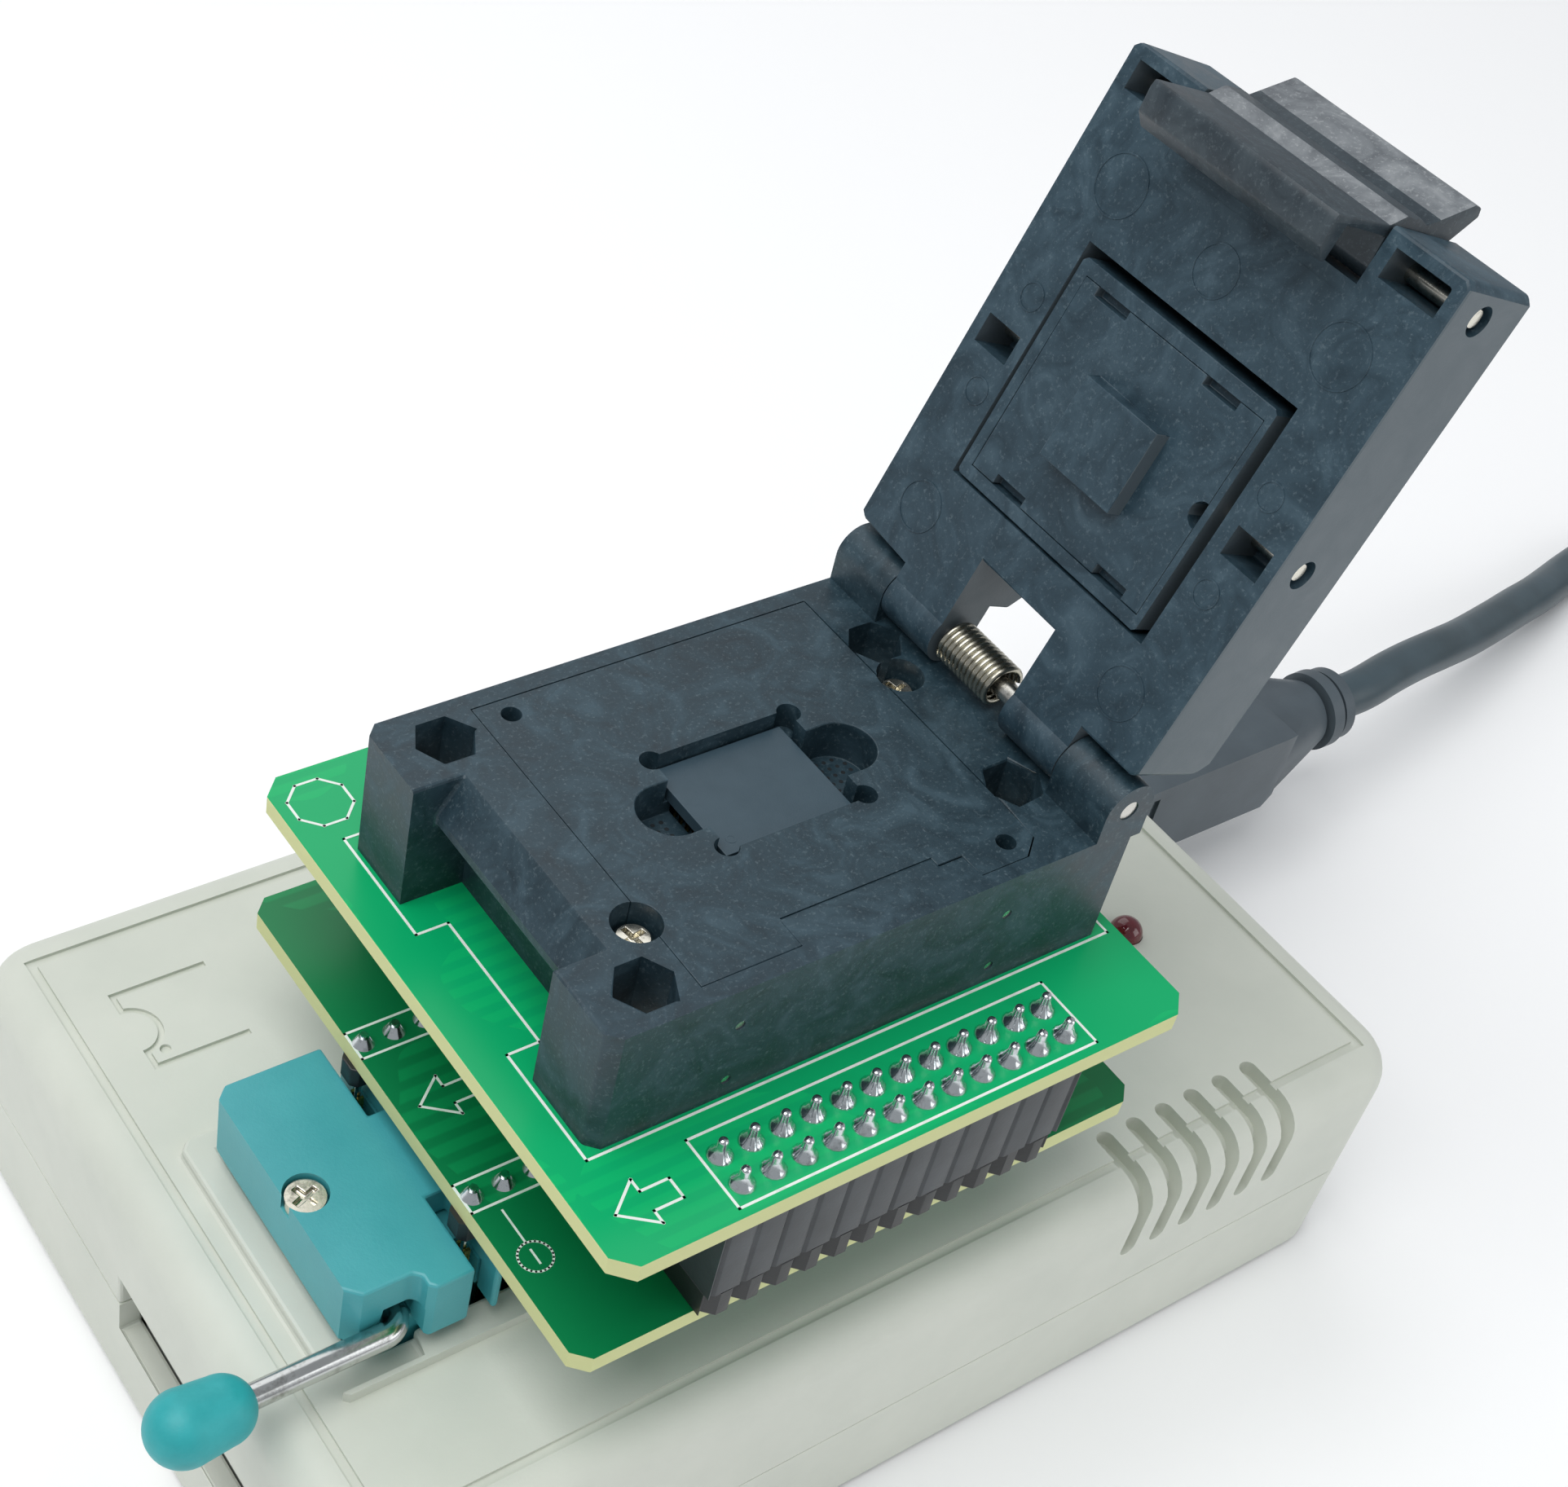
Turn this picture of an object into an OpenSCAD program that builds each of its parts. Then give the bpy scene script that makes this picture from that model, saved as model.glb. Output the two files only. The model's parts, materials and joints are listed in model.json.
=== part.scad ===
// USB microcontroller programmer with a stacked socket adapter
// Millimetres, +Z up, standing on its feet, USB end towards +X.

/* [Case] */
// Length of the case
case_l = 101.8; // [98:0.1:106]
// Width of the case
case_w = 63.2; // [61:0.1:68]
// Height of the case without its feet
case_h = 23; // [22:0.1:25]
// Thickness of the case walls
wall = 2; // [1.6:0.1:2.4]
// Height of the rubber feet
foot_h = 0.8; // [0.5:0.1:1.5]
// Height of the joint between the two halves
parting_z = 10.6; // [9:0.1:12]
// Number of vent slots
vents = 6; // [3:1:7]
// Width of a vent slot
vent_w = 1.6; // [1.2:0.1:2]

/* [Adapter boards] */
// Thickness of each circuit board
board_t = 1.6; // [1.2:0.1:2]
// Length of the lower board
lower_l = 50.1; // [50:0.1:52]
// Width of the lower board
lower_w = 46; // [44:0.1:47]
// Length of the upper board
upper_l = 49.2; // [48:0.1:51]
// Width of the upper board
upper_w = 47.8; // [46:0.1:49]

/* [Zero force socket] */
// Length of the socket cover
zif_l = 64; // [63:0.1:65]
// Width of the socket cover
zif_w = 22.2; // [22:0.1:23]
// Diameter of the lever rod
rod_d = 1.9; // [1.6:0.1:2.2]
// Travel of the sliding comb plate
slide_travel = 0.8; // [0.5:0.1:0.8]

/* [Test socket] */
// Length of the socket base
base_l = 44.6; // [44:0.1:46]
// Width of the socket base and its lid
base_w = 31.1; // [30.5:0.1:32]
// Height of the socket base
base_h = 10.9; // [10.5:0.1:10.9]
// Thickness of the lid
lid_t = 7.8; // [7.4:0.1:8.2]
// Angle of the open lid above the boards
lid_rise = 68.6; // [60:0.1:90]
// Width of the latch
latch_w = 16.9; // [15:0.1:17]

/* [Cord] */
// Diameter of the USB cable
cable_d = 4.8; // [4:0.1:5.5]
// Diameter of the coil at the middle of its turns
coil_d = 56; // [52:1:60]

/* [Hidden] */
$fn = 48;
eps = 0.01;
pitch = 2.54;

// Case
case_x = 4.15;
case_x0 = case_x - case_l / 2;
case_x1 = case_x + case_l / 2;
case_top = foot_h + case_h;
case_r = 5;
edge_r = 3;
groove_w = 0.8;
pcb_z = 4.2;
pcb_top = pcb_z + board_t;
pcb_l = 96;
pcb_w = 56;
post_at = [[-42, -25], [-42, 25], [50, -25], [50, 25]];
foot_at = [[-39, -24], [-39, 24], [47.3, -24], [47.3, 24]];
vent_x = 24.28;
vent_step = 3.24;
vent_y = -25.7;
vent_z = 16.4;
led_at = [41.35, -9];
usb_y = 13.8;
usb_z = 11.3;
port_w = 12.2;
port_h = 11;
header_y0 = -19.7;
header_y1 = 4.3;
header_z0 = 7.3;
header_z1 = 13.8;

// Zero force socket
zif_x0 = -39.55;
zif_y = -6.45;
zif_top = 32.1;
zif_split = 26.3;
row_gap = 15.24;
pins = 20;
pin_x0 = -29.45;
row_y = [zif_y - row_gap / 2, zif_y + row_gap / 2];
lever_x = -35.55;
lever_y = -16.7;
lever_z = 27.5;
knob_x = -47.2;
knob_l = 7.85;

// Boards
lower_x0 = -30.35;
lower_y0 = -29.1;
lower_z = 34.06;
lower_top = lower_z + board_t;
upper_x0 = -30.45;
upper_y0 = -31;
upper_z = 46.7;
upper_top = upper_z + board_t;
header_x0 = -19.55;
header_pins = 12;
header_rows = [-27.43, 13.24];
header_w = 5.4;
male_h = 2.54;

// Test socket, from the middle of its base on the upper board
socket_x = -4.85;
socket_y = -6.65;
hinge_x = 20.1;
hinge_z = 13.18;
knuckle_r = 2.2;
knuckle_w = 5.6;
hinge_pin_r = 0.8;
window_y0 = -3.9;
window_y1 = 4.3;
plate_z = 6.5;
bolt_at = [[-17.8, -12.25], [-17.8, 12.25], [16.5, -8.1], [16.5, 8.1]];
screw_at = [[-15.3, -7.65], [16, 4.35]];
side_pin_at = [[-11.8, 7.2], [-11.8, 1.75], [11, 7], [11, 1.7]];
notch_w = 17.4;
pocket_l = 11.8;
pocket_w = 9.7;
chip_at = [-0.1, 0.1];
guide = [[-14.6, -14.05], [-6.55, -14.05], [-6.55, -11.45], [6.25, -11.45], [6.25, -12.2],
    [8.4, -12.2], [8.4, -14.3], [12.6, -14.3], [14.3, -12.9], [14.3, 14.05], [-14.6, 14.05]];

// Lid, along its length from the hinge axis and outwards from it to the inner face
lid_in = 1.92;
lid_out = lid_in - lid_t;
lid_s0 = 2.74;
lid_s1 = 41.5;
latch_s = 39.25;
latch_z = lid_in - 3.27;
pusher_s = 19.97;
pusher_z = lid_in - 3.18;
pin_r = 0.65;
frame_s0 = 10.4;
frame_s1 = 28.1;
frame_y0 = -9.15;
frame_y1 = 10.15;
frame_t = 4.6;
frame_floor = lid_in - 6.6;

// Cord
exit_x = 96.5;
coil_at = [176, -21];
coil_w = 14.6;
coil_h = 9.8;
route = [[96.5, 13.8, 11.3], [101, 13.8, 11.3], [107, 14.8, 10.8], [112, 15.6, 10.1],
    [117.5, 16.4, 9.1], [124, 17.6, 7.6], [132.3, 19.4, 6], [138, 20.7, 5], [143.6, 21.9, 4],
    [149, 23.4, 2.9], [154, 24.6, 2.4], [159, 25.3, 2.4], [164.5, 25, 2.4], [170, 23.4, 2.4],
    [175.5, 20.6, 2.4], [181, 16.8, 2.4], [186.5, 12.3, 2.4], [192.4, 7.4, 2.4]];
tail = [[202.9, -39.8, 7.2], [200.4, -44.1, 6.6], [197.8, -48.6, 5.7], [195.2, -53, 4.9],
    [192.4, -56.7, 4.4], [188.8, -59.7, 4.1], [185.2, -61.2, 4], [181, -61.2, 4]];

// ---------- Shared shapes ----------

module box(a, b) translate(a) cube(b - a);

// A block with its four upright edges cut back
module chamfered(a, b, c) {
    outline = [[a[0] + c, a[1]], [b[0] - c, a[1]], [b[0], a[1] + c], [b[0], b[1] - c],
        [b[0] - c, b[1]], [a[0] + c, b[1]], [a[0], b[1] - c], [a[0], a[1] + c]];
    translate([0, 0, a[2]]) linear_extrude(b[2] - a[2]) polygon(outline);
}

module rod_y(x, z, y0, y1, r) {
    translate([x, y0, z]) rotate([-90, 0, 0]) cylinder(r = r, h = y1 - y0);
}

module rod_x(y, z, x0, x1, r) {
    translate([x0, y, z]) rotate([0, 90, 0]) cylinder(r = r, h = x1 - x0);
}

// A row of turns along +Z, drawn as closed rings of wire
module spring(r, wire, length, turns) {
    step = (length - wire) / (turns - 1);
    for (i = [0 : turns - 1]) {
        translate([0, 0, wire / 2 + i * step])
            rotate_extrude() translate([r, 0]) circle(d = wire, $fn = 16);
    }
}

module on_socket() translate([socket_x, socket_y, upper_top]) children();

// From the hinge axis, +X to the latch and +Z out of the inner face
module on_lid() {
    on_socket() translate([hinge_x, 0, hinge_z]) rotate([0, -lid_rise, 0]) children();
}

// ---------- Case ----------

module case_block(x0, x1, y, z0, z1, r, e) {
    hull() {
        for (cx = [x0 + r, x1 - r]) {
            for (cy = [-y + r, y - r]) {
                translate([cx, cy, 0]) {
                    translate([0, 0, z0]) cylinder(r = r, h = z1 - z0 - e, $fn = 40);
                    translate([0, 0, z1 - e]) rotate_extrude($fn = 40) intersection() {
                        translate([r - e, 0]) circle(r = e, $fn = 24);
                        square(r);
                    }
                    translate([0, 0, z1 - e]) cylinder(r = r - e, h = e, $fn = 40);
                }
            }
        }
    }
}

module vent_cut(x) {
    x0 = x - vent_w / 2;
    x1 = x + vent_w / 2;
    depth = 1.5;
    box([x0, -case_w / 2 + edge_r - 0.6, case_top - depth], [x1, vent_y, case_top + 1]);
    translate([x, vent_y, case_top - depth]) cylinder(d = vent_w, h = depth + 1);
    box([x0, -case_w / 2 - 1, vent_z], [x1, -case_w / 2 + depth, case_top - edge_r + 0.6]);
    rod_y(x, vent_z, -case_w / 2 - 1, -case_w / 2 + depth, vent_w / 2);
    translate([x0, -case_w / 2 + edge_r, case_top - edge_r]) rotate([0, 90, 0]) difference() {
        cylinder(r = edge_r + 1, h = vent_w);
        translate([0, 0, -eps]) cylinder(r = edge_r - depth, h = vent_w + 2 * eps);
        translate([-eps, -5, -eps]) cube([9, 10, vent_w + 1]);
        translate([-9, 0, -eps]) cube([10, 9, vent_w + 1]);
    }
}

module end_slots() {
    box([case_x0 - 1, header_y0, header_z0], [case_x0 + wall + 1, header_y1, header_z1]);
    box([case_x1 - wall - 1, usb_y - port_w / 2 - 0.1, usb_z - port_h / 2 - 0.1],
        [case_x1 + 1, usb_y + port_w / 2 + 0.1, usb_z + port_h / 2 + 0.1]);
}

module upper_case() color("#d2d5cb") {
    y = case_w / 2;
    rim_x0 = -41.2;
    rim_x1 = 26.2;
    rim_y0 = -18.3;
    rim_y1 = 6.6;
    difference() {
        union() {
            case_block(case_x0, case_x1, y, parting_z, case_top, case_r, edge_r);
            chamfered([rim_x0, rim_y0, case_top - 1], [rim_x1, rim_y1, case_top + 1], 0.8);
            for (p = post_at) translate([p[0], p[1], pcb_top])
                cylinder(d = 5, h = parting_z - pcb_top + 1);
        }
        difference() {
            case_block(case_x0 + wall, case_x1 - wall, y - wall, parting_z - 1,
                case_top - wall - 0.4, case_r - wall, 1);
            for (p = post_at) translate([p[0], p[1], pcb_top]) cylinder(d = 5, h = 20);
        }
        for (p = post_at) translate([p[0], p[1], 0]) cylinder(d = 2.2, h = 16);
        // Opening for the zero force socket and the way out for its lever
        box([-38.75, -15.7, 12], [23.95, 4.6, 40]);
        box([-45, -17.9, case_top], [-34, -15, 40]);
        // Border groove on the top
        difference() {
            box([-43.5, -28.4, case_top - 0.3], [51.8, 28.4, case_top + 0.5]);
            box([-43.5 + groove_w, -28.4 + groove_w, case_top - 1],
                [51.8 - groove_w, 28.4 - groove_w, case_top + 2]);
        }
        for (i = [0 : vents - 1]) vent_cut(vent_x + i * vent_step);
        translate([led_at[0], led_at[1], 12]) cylinder(d = 3.1, h = 20);
        end_slots();
        insertion_mark();
    }
}

// Outline of a chip with its notch, a pin one dot and an arrow, sunk in the top
module insertion_mark() {
    x0 = -39.2;
    x1 = -31;
    y0 = 14.2;
    y1 = 22.5;
    w = 0.5;
    z = case_top - 0.3;
    difference() {
        box([x0, y0, z], [x1, y1, case_top + 0.5]);
        difference() {
            box([x0 + w, y0 + w, z - 1], [x1 + 1, y1 - w, case_top + 1]);
            translate([x0, 18.3, z - 1]) cylinder(r = 2 + w, h = 3);
        }
        translate([x0, 18.3, z - 1]) cylinder(r = 2, h = 3);
    }
    translate([x0 + 1.6, y0 + 1.5, z]) cylinder(r = 0.45, h = 1);
}

module lower_case() color("#c9ccc2") {
    y = case_w / 2;
    difference() {
        union() {
            difference() {
                case_block(case_x0, case_x1, y, foot_h, parting_z, case_r, 0.01);
                case_block(case_x0 + wall, case_x1 - wall, y - wall, foot_h + wall,
                    parting_z + 1, case_r - wall, 0.01);
            }
            for (p = post_at) translate([p[0], p[1], foot_h]) cylinder(d = 6, h = pcb_z - foot_h);
        }
        for (p = post_at) {
            translate([p[0], p[1], 0]) cylinder(d = 2.8, h = 6);
            translate([p[0], p[1], 0]) cylinder(d = 5, h = foot_h + 1.8);
        }
        end_slots();
    }
}

module case_screws() color("#b8bcc0") {
    for (p = post_at) translate([p[0], p[1], foot_h + 0.1]) difference() {
        union() {
            cylinder(d = 4.6, h = 1.7);
            cylinder(d = 2.2, h = 14);
        }
        translate([-1.4, -0.3, -eps]) cube([2.8, 0.6, 1]);
        translate([-0.3, -1.4, -eps]) cube([0.6, 2.8, 1]);
    }
}

module rubber_feet() color("#202224") {
    for (p = foot_at) translate([p[0], p[1], 0]) cylinder(d1 = 7.4, d2 = 8, h = foot_h);
}

// ---------- Electronics ----------

module main_board() color("#0f6b3f") difference() {
    chamfered([case_x - pcb_l / 2, -pcb_w / 2, pcb_z], [case_x + pcb_l / 2, pcb_w / 2, pcb_top], 2);
    for (p = post_at) translate([p[0], p[1], 0]) cylinder(d = 2.8, h = 20);
}

module board_chips() color("#26282b") {
    box([28, -20, pcb_top], [40, -8, pcb_top + 1.6]);
    box([28, 2, pcb_top], [38, 8, pcb_top + 1.8]);
    box([-28, 10, pcb_top], [-20, 18, pcb_top + 1.4]);
    for (i = [0 : 3]) box([-14 + i * 9, 10, pcb_top], [-8 + i * 9, 20, pcb_top + 1.9]);
    for (x = [28, 36]) translate([x, 18, pcb_top]) cylinder(d = 5, h = 6);
}

module usb_socket() color("#b9bec2") {
    x0 = case_x1 - 15.5;
    z0 = usb_z - port_h / 2;
    difference() {
        box([x0, usb_y - port_w / 2, z0], [case_x1, usb_y + port_w / 2, z0 + port_h]);
        box([x0 + 2, usb_y - 4.4, usb_z - 4.1], [case_x1 + 1, usb_y + 4.4, usb_z + 4.1]);
    }
    box([x0 + 2 - eps, usb_y - 2.8, usb_z - 1.6], [case_x1 - 2, usb_y + 2.8, usb_z + 1.6]);
}

module programming_header() color("#9a9d98") {
    difference() {
        box([case_x0 + wall + 0.1, header_y0 + 0.3, pcb_top],
            [case_x0 + 8.2, header_y1 - 0.3, header_z1 - 0.2]);
        box([case_x0, header_y0 + 1.3, header_z0 + 0.8],
            [case_x0 + 7, header_y1 - 1.3, header_z1 - 1.1]);
    }
    for (i = [0 : 5]) {
        rod_x(header_y0 + 5.65 + i * pitch, 10.4, case_x0 + 3, case_x0 + 7.6, 0.32);
    }
}

module power_led() color("#7a1c22") {
    translate([led_at[0], led_at[1], 18.5]) {
        cylinder(d = 3, h = case_top - 18.5);
        cylinder(d = 3.8, h = 1);
        translate([0, 0, case_top - 18.5]) intersection() {
            sphere(d = 3);
            cylinder(d = 4, h = 3);
        }
    }
    for (y = [-1.27, 1.27]) {
        translate([led_at[0], led_at[1] + y, pcb_top]) cylinder(d = 0.5, h = 13);
    }
}

// ---------- Zero force socket ----------

module at_pins() {
    for (y = row_y) {
        for (i = [0 : pins - 1]) translate([pin_x0 + i * pitch, y, 0]) children();
    }
}

module zif_risers() color("#26282b") {
    for (y = row_y) box([-32, y - 1.27, pcb_top], [20.5, y + 1.27, 12]);
}

module zif_base() color("#3f9094") difference() {
    chamfered([zif_x0 + 1.1, -15.3, 12], [zif_x0 + zif_l - 0.9, 4.2, zif_split], 0.8);
    for (y = row_y) box([-31, y - 1.7, 14], [20.6, y + 1.7, zif_split + 1]);
    translate([-37.95, -6.4, 19.5]) cylinder(d = 1.7, h = 10);
}

module zif_cover() color("#4da9ad") difference() {
    x1 = zif_x0 + zif_l;
    yb = 4.7;
    z = zif_top - zif_split;
    translate([0, 0, zif_split]) linear_extrude(z) polygon([[zif_x0 + 1, -15.7], [-34.75, -15.7],
        [-34.25, -16.2], [-34.25, -17], [-33.75, -17.5], [x1 - 1, -17.5], [x1, -16.5],
        [x1, yb - 1], [x1 - 1, yb], [zif_x0 + 1, yb], [zif_x0, yb - 1], [zif_x0, -14.7]]);
    at_pins() box([-1.3, -3.55, zif_split - 1], [0.6, 3.55, zif_top + 1]);
    // Room for the comb plate and for the lever's cross bar and cam
    box([-34.4, -15.4, zif_split - 1], [22.6, 2.5, 29.4]);
    box([-37, -20, zif_split - 1], [-34.2, 2.5, 29.1]);
    // Sunk screw seats
    for (x = [-37.95, 23.2]) translate([x, -6.4, 0]) {
        cylinder(d = 1.6, h = 40);
    }
    translate([-37.95, -6.4, zif_top - 1.4]) cylinder(d = 3.4, h = 3);
}

module zif_screws() color("#c9c6bd") {
    translate([-37.95, -6.4, 0]) difference() {
        union() {
            translate([0, 0, 20]) cylinder(d = 1.6, h = zif_top - 1.4 - 20);
            translate([0, 0, zif_top - 1.4]) cylinder(d = 3, h = 1);
        }
        for (a = [20, 110]) translate([0, 0, zif_top - 0.8]) rotate(a)
            translate([-1, -0.22, 0]) cube([2, 0.44, 2]);
    }
}

module zif_contacts() color("#c9a85c") {
    at_pins() for (y = [-0.55, 0.3]) box([-0.25, y, 14], [0.25, y + 0.25, 29.9]);
}

module zif_slider() color("#2f8a8e") difference() {
    box([-34.2, -15.2, zif_split + 0.1], [21.6, 2.3, 29.2]);
    at_pins() box([-1.4, -3, zif_split - 1], [0.6, 1.2, 31]);
    box([-35, -20, zif_split - 1], [-34, 5, 31]);
}

module zif_lever() color("#b9bdbf") {
    elbow_r = 1.6;
    rod_x(lever_y, lever_z, knob_x - 5, lever_x - elbow_r, rod_d / 2);
    rod_y(lever_x, lever_z, lever_y + elbow_r, 2, rod_d / 2);
    translate([lever_x - elbow_r, lever_y + elbow_r, lever_z])
        rotate_extrude(angle = 90, start = 270) translate([elbow_r, 0]) circle(d = rod_d);
}

module lever_knob() color("#2aa3a6") {
    translate([knob_x, lever_y, lever_z]) rotate([0, -90, 0]) difference() {
        rotate_extrude() intersection() {
            square([4, knob_l]);
            union() {
                translate([0, 2.4]) circle(d = 5);
                translate([0, knob_l - 2.75]) circle(d = 5.5);
                polygon([[0, 2.4], [2.5, 2.4], [2.75, knob_l - 2.75], [0, knob_l - 2.75]]);
            }
        }
        translate([0, 0, -1]) cylinder(d = rod_d, h = 6);
    }
}

// ---------- Lower adapter board ----------

module lower_board() color("#0c7a48") difference() {
    chamfered([lower_x0, lower_y0, lower_z],
        [lower_x0 + lower_l, lower_y0 + lower_w, lower_top], 1.2);
    at_pins() translate([0, 0, lower_z - 1]) cylinder(d = 0.8, h = 4);
}

module pin_strips() color("#1d1f21") {
    for (y = row_y) difference() {
        box([pin_x0 - pitch / 2, y - 1.15, zif_top + 0.1],
            [pin_x0 + (pins - 0.5) * pitch, y + 1.15, lower_z]);
        for (i = [0 : pins]) translate([pin_x0 + (i - 0.5) * pitch, 0, zif_top]) {
            for (e = [-1.15, 1.15]) translate([0, y + e, 0]) rotate(45)
                cube([0.7, 0.7, 6], center = true);
        }
        for (i = [0 : pins - 1]) translate([pin_x0 + i * pitch, y, 30]) cylinder(d = 0.8, h = 6);
    }
}

module adapter_pins() color("#c8ccce") {
    at_pins() {
        translate([0, 0, 27]) cylinder(d = 0.5, h = zif_top + 0.1 - 27);
        translate([0, 0, zif_top + 0.1]) cylinder(d = 0.8, h = lower_top - zif_top - 0.1);
        translate([0, 0, lower_top]) cylinder(r1 = 0.85, r2 = 0.4, h = 0.75);
        translate([0, 0, lower_top + 0.75]) cylinder(r = 0.3, h = 0.25);
    }
}

module at_header(y) {
    for (r = [-pitch / 2, pitch / 2]) {
        for (i = [0 : header_pins - 1]) {
            translate([header_x0 + i * pitch, y + r, 0]) children();
        }
    }
}

module header_block(y, z0, z1, cut) {
    x0 = header_x0 - 0.63 * pitch;
    x1 = header_x0 + (header_pins - 0.37) * pitch;
    difference() {
        box([x0, y - header_w / 2, z0], [x1, y + header_w / 2, z1]);
        for (i = [0 : header_pins]) {
            for (e = [-1, 1]) {
                translate([header_x0 + (i - 0.5) * pitch, y + e * header_w / 2, (z0 + z1) / 2])
                    rotate(45) cube([cut, cut, z1 - z0 + 1], center = true);
            }
        }
    }
}

module male_header(y) {
    color("#1d1f21") difference() {
        header_block(y, lower_top, lower_top + male_h, 1.1);
        at_header(y) box([-0.32, -0.32, 30], [0.32, 0.32, 50]);
    }
    color("#c9b06a") at_header(y) box([-0.32, -0.32, lower_top], [0.32, 0.32, 43.6]);
}

module male_header_front() male_header(header_rows[0]);
module male_header_back() male_header(header_rows[1]);

// ---------- Upper adapter board ----------

module upper_board() color("#12a871") difference() {
    chamfered([upper_x0, upper_y0, upper_z],
        [upper_x0 + upper_l, upper_y0 + upper_w, upper_top], 1.5);
    for (y = header_rows) at_header(y) translate([0, 0, upper_z - 1]) cylinder(d = 1, h = 4);
    on_socket() for (p = bolt_at) translate([p[0], p[1], -3]) cylinder(d = 2, h = 6);
}

module female_header(y) color("#2c3034") difference() {
    header_block(y, lower_top + male_h, upper_z, 0.35);
    at_header(y) box([-0.45, -0.45, 30], [0.45, 0.45, 45]);
}

module female_header_front() female_header(header_rows[0]);
module female_header_back() female_header(header_rows[1]);

module header_solder() color("#c4cacc") {
    for (y = header_rows) at_header(y) {
        translate([0, 0, upper_z]) cylinder(d = 1, h = board_t);
        translate([0, 0, upper_top]) cylinder(r1 = 0.9, r2 = 0.45, h = 0.9);
        translate([0, 0, upper_top + 0.9]) cylinder(r = 0.32, h = 0.8);
    }
}

// ---------- Test socket ----------

module guide_outline(z0, z1, grow) {
    translate([0, 0, z0]) linear_extrude(z1 - z0) polygon([for (p = guide)
        [p[0] + grow * sign(p[0]), p[1] + (abs(p[1]) > 12.1 ? grow * sign(p[1]) : 0)]]);
}

module base_side() {
    // Seen from the front: the latch end's cam slope, its ledge, and the foot wall
    polygon([[-17.3, -1], [-17.3, 7], [-20.2, 7], [-20.2, 7.9], [-18.3, base_h],
        [-18.3, base_h + 1], [-30, base_h + 1], [-30, -1]]);
}

module socket_base() color("#3d4a52") on_socket() {
    x = base_l / 2;
    y = base_w / 2;
    difference() {
        union() {
            chamfered([-x, -y, 0], [x, y, base_h], 0.9);
            for (s = [-1, 1]) {
                y0 = s > 0 ? y - knuckle_w : -y;
                rod_y(hinge_x, hinge_z, y0, y0 + knuckle_w, knuckle_r);
                box([hinge_x - knuckle_r, y0, base_h - 1],
                    [hinge_x + knuckle_r, y0 + knuckle_w, hinge_z]);
            }
        }
        translate([0, notch_w / 2, 0]) rotate([90, 0, 0]) linear_extrude(notch_w) base_side();
        guide_outline(plate_z, base_h + 1, 0.08);
        // Seat for the probe block, and its way through to the board
        box([-10.6, -6.6, -1], [10.6, 6.6, plate_z + 1]);
        for (p = bolt_at) translate([p[0], p[1], 0]) {
            translate([0, 0, 4]) cylinder(r = 2.31, h = 10, $fn = 6);
            translate([0, 0, -1]) cylinder(d = 2, h = 8);
        }
        for (p = screw_at) translate([p[0], p[1], 0]) {
            translate([0, 0, 8.2]) cylinder(d = 3.6, h = 5);
            translate([0, 0, 3]) cylinder(d = 1.6, h = 8);
        }
        for (p = side_pin_at) {
            rod_y(p[0], p[1], -y - 1, -y + 3, 0.4);
            rod_y(p[0], p[1], y - 3, y + 1, 0.4);
        }
        rod_y(hinge_x, hinge_z, -y - 1, y + 1, hinge_pin_r);
    }
}

module guide_plate() color("#34424c") on_socket() difference() {
    guide_outline(plate_z, base_h - 0.03, 0);
    box([-pocket_l / 2, -pocket_w / 2, 8.7], [pocket_l / 2, pocket_w / 2, 20]);
    box([-pocket_l / 2 + 0.7, -pocket_w / 2 + 0.7, 0], [pocket_l / 2 - 0.7, pocket_w / 2 - 0.7, 20]);
    for (a = [-1, 1]) {
        for (b = [-1, 1]) {
            translate([a * pocket_l / 2, b * (pocket_w / 2 - 0.3), 8.7]) cylinder(r = 0.9, h = 9);
        }
        // Finger recesses at the two ends of the chip
        translate([a * 7.4, 0, 7.6]) cylinder(r = 2.45, h = 9);
        box([min(0, a * 7.4), -2.45, 7.6], [max(0, a * 7.4), 2.45, 20]);
    }
    for (p = screw_at) translate([p[0], p[1], 0]) cylinder(d = 3.6, h = 20);
    translate([-12.3, 12.55, 0]) cylinder(d = 1.5, h = 20);
    translate([12.1, -12.55, 0]) cylinder(d = 1.5, h = 20);
}

module plate_screws() color("#d4d0c4") on_socket() {
    for (p = screw_at) translate([p[0], p[1], 0]) difference() {
        union() {
            translate([0, 0, 3.2]) cylinder(d = 1.6, h = 5);
            translate([0, 0, 8.2]) cylinder(d = 2.9, h = 0.9);
            translate([0, 0, 9.1]) cylinder(d1 = 2.9, d2 = 2.3, h = 0.4);
        }
        for (a = [10, 100]) translate([0, 0, 8.8]) rotate(a)
            translate([-0.95, -0.2, 0]) cube([1.9, 0.4, 2]);
    }
}

module at_probes() {
    for (i = [-5.5 : 5.5]) {
        for (j = [-3.5 : 3.5]) translate([i * 0.8, j * 0.8, 0]) children();
    }
}

module probe_block() color("#2b3238") on_socket() {
    box([-10.5, -6.5, 0], [10.5, 6.5, plate_z - 0.02]);
}

module contact_probes() color("#c9a85c") on_socket() {
    at_probes() {
        translate([0, 0, plate_z - 0.02]) cylinder(d = 0.36, h = 1.8, $fn = 16);
        translate([0, 0, plate_z + 1.78]) cylinder(d1 = 0.36, d2 = 0.12, h = 0.4, $fn = 16);
    }
}

module memory_chip() color("#3c4f5a") on_socket() translate([chip_at[0], chip_at[1], 8.7]) {
    box([-5.5, -4.5, 0], [5.5, 4.5, 1]);
}

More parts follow.
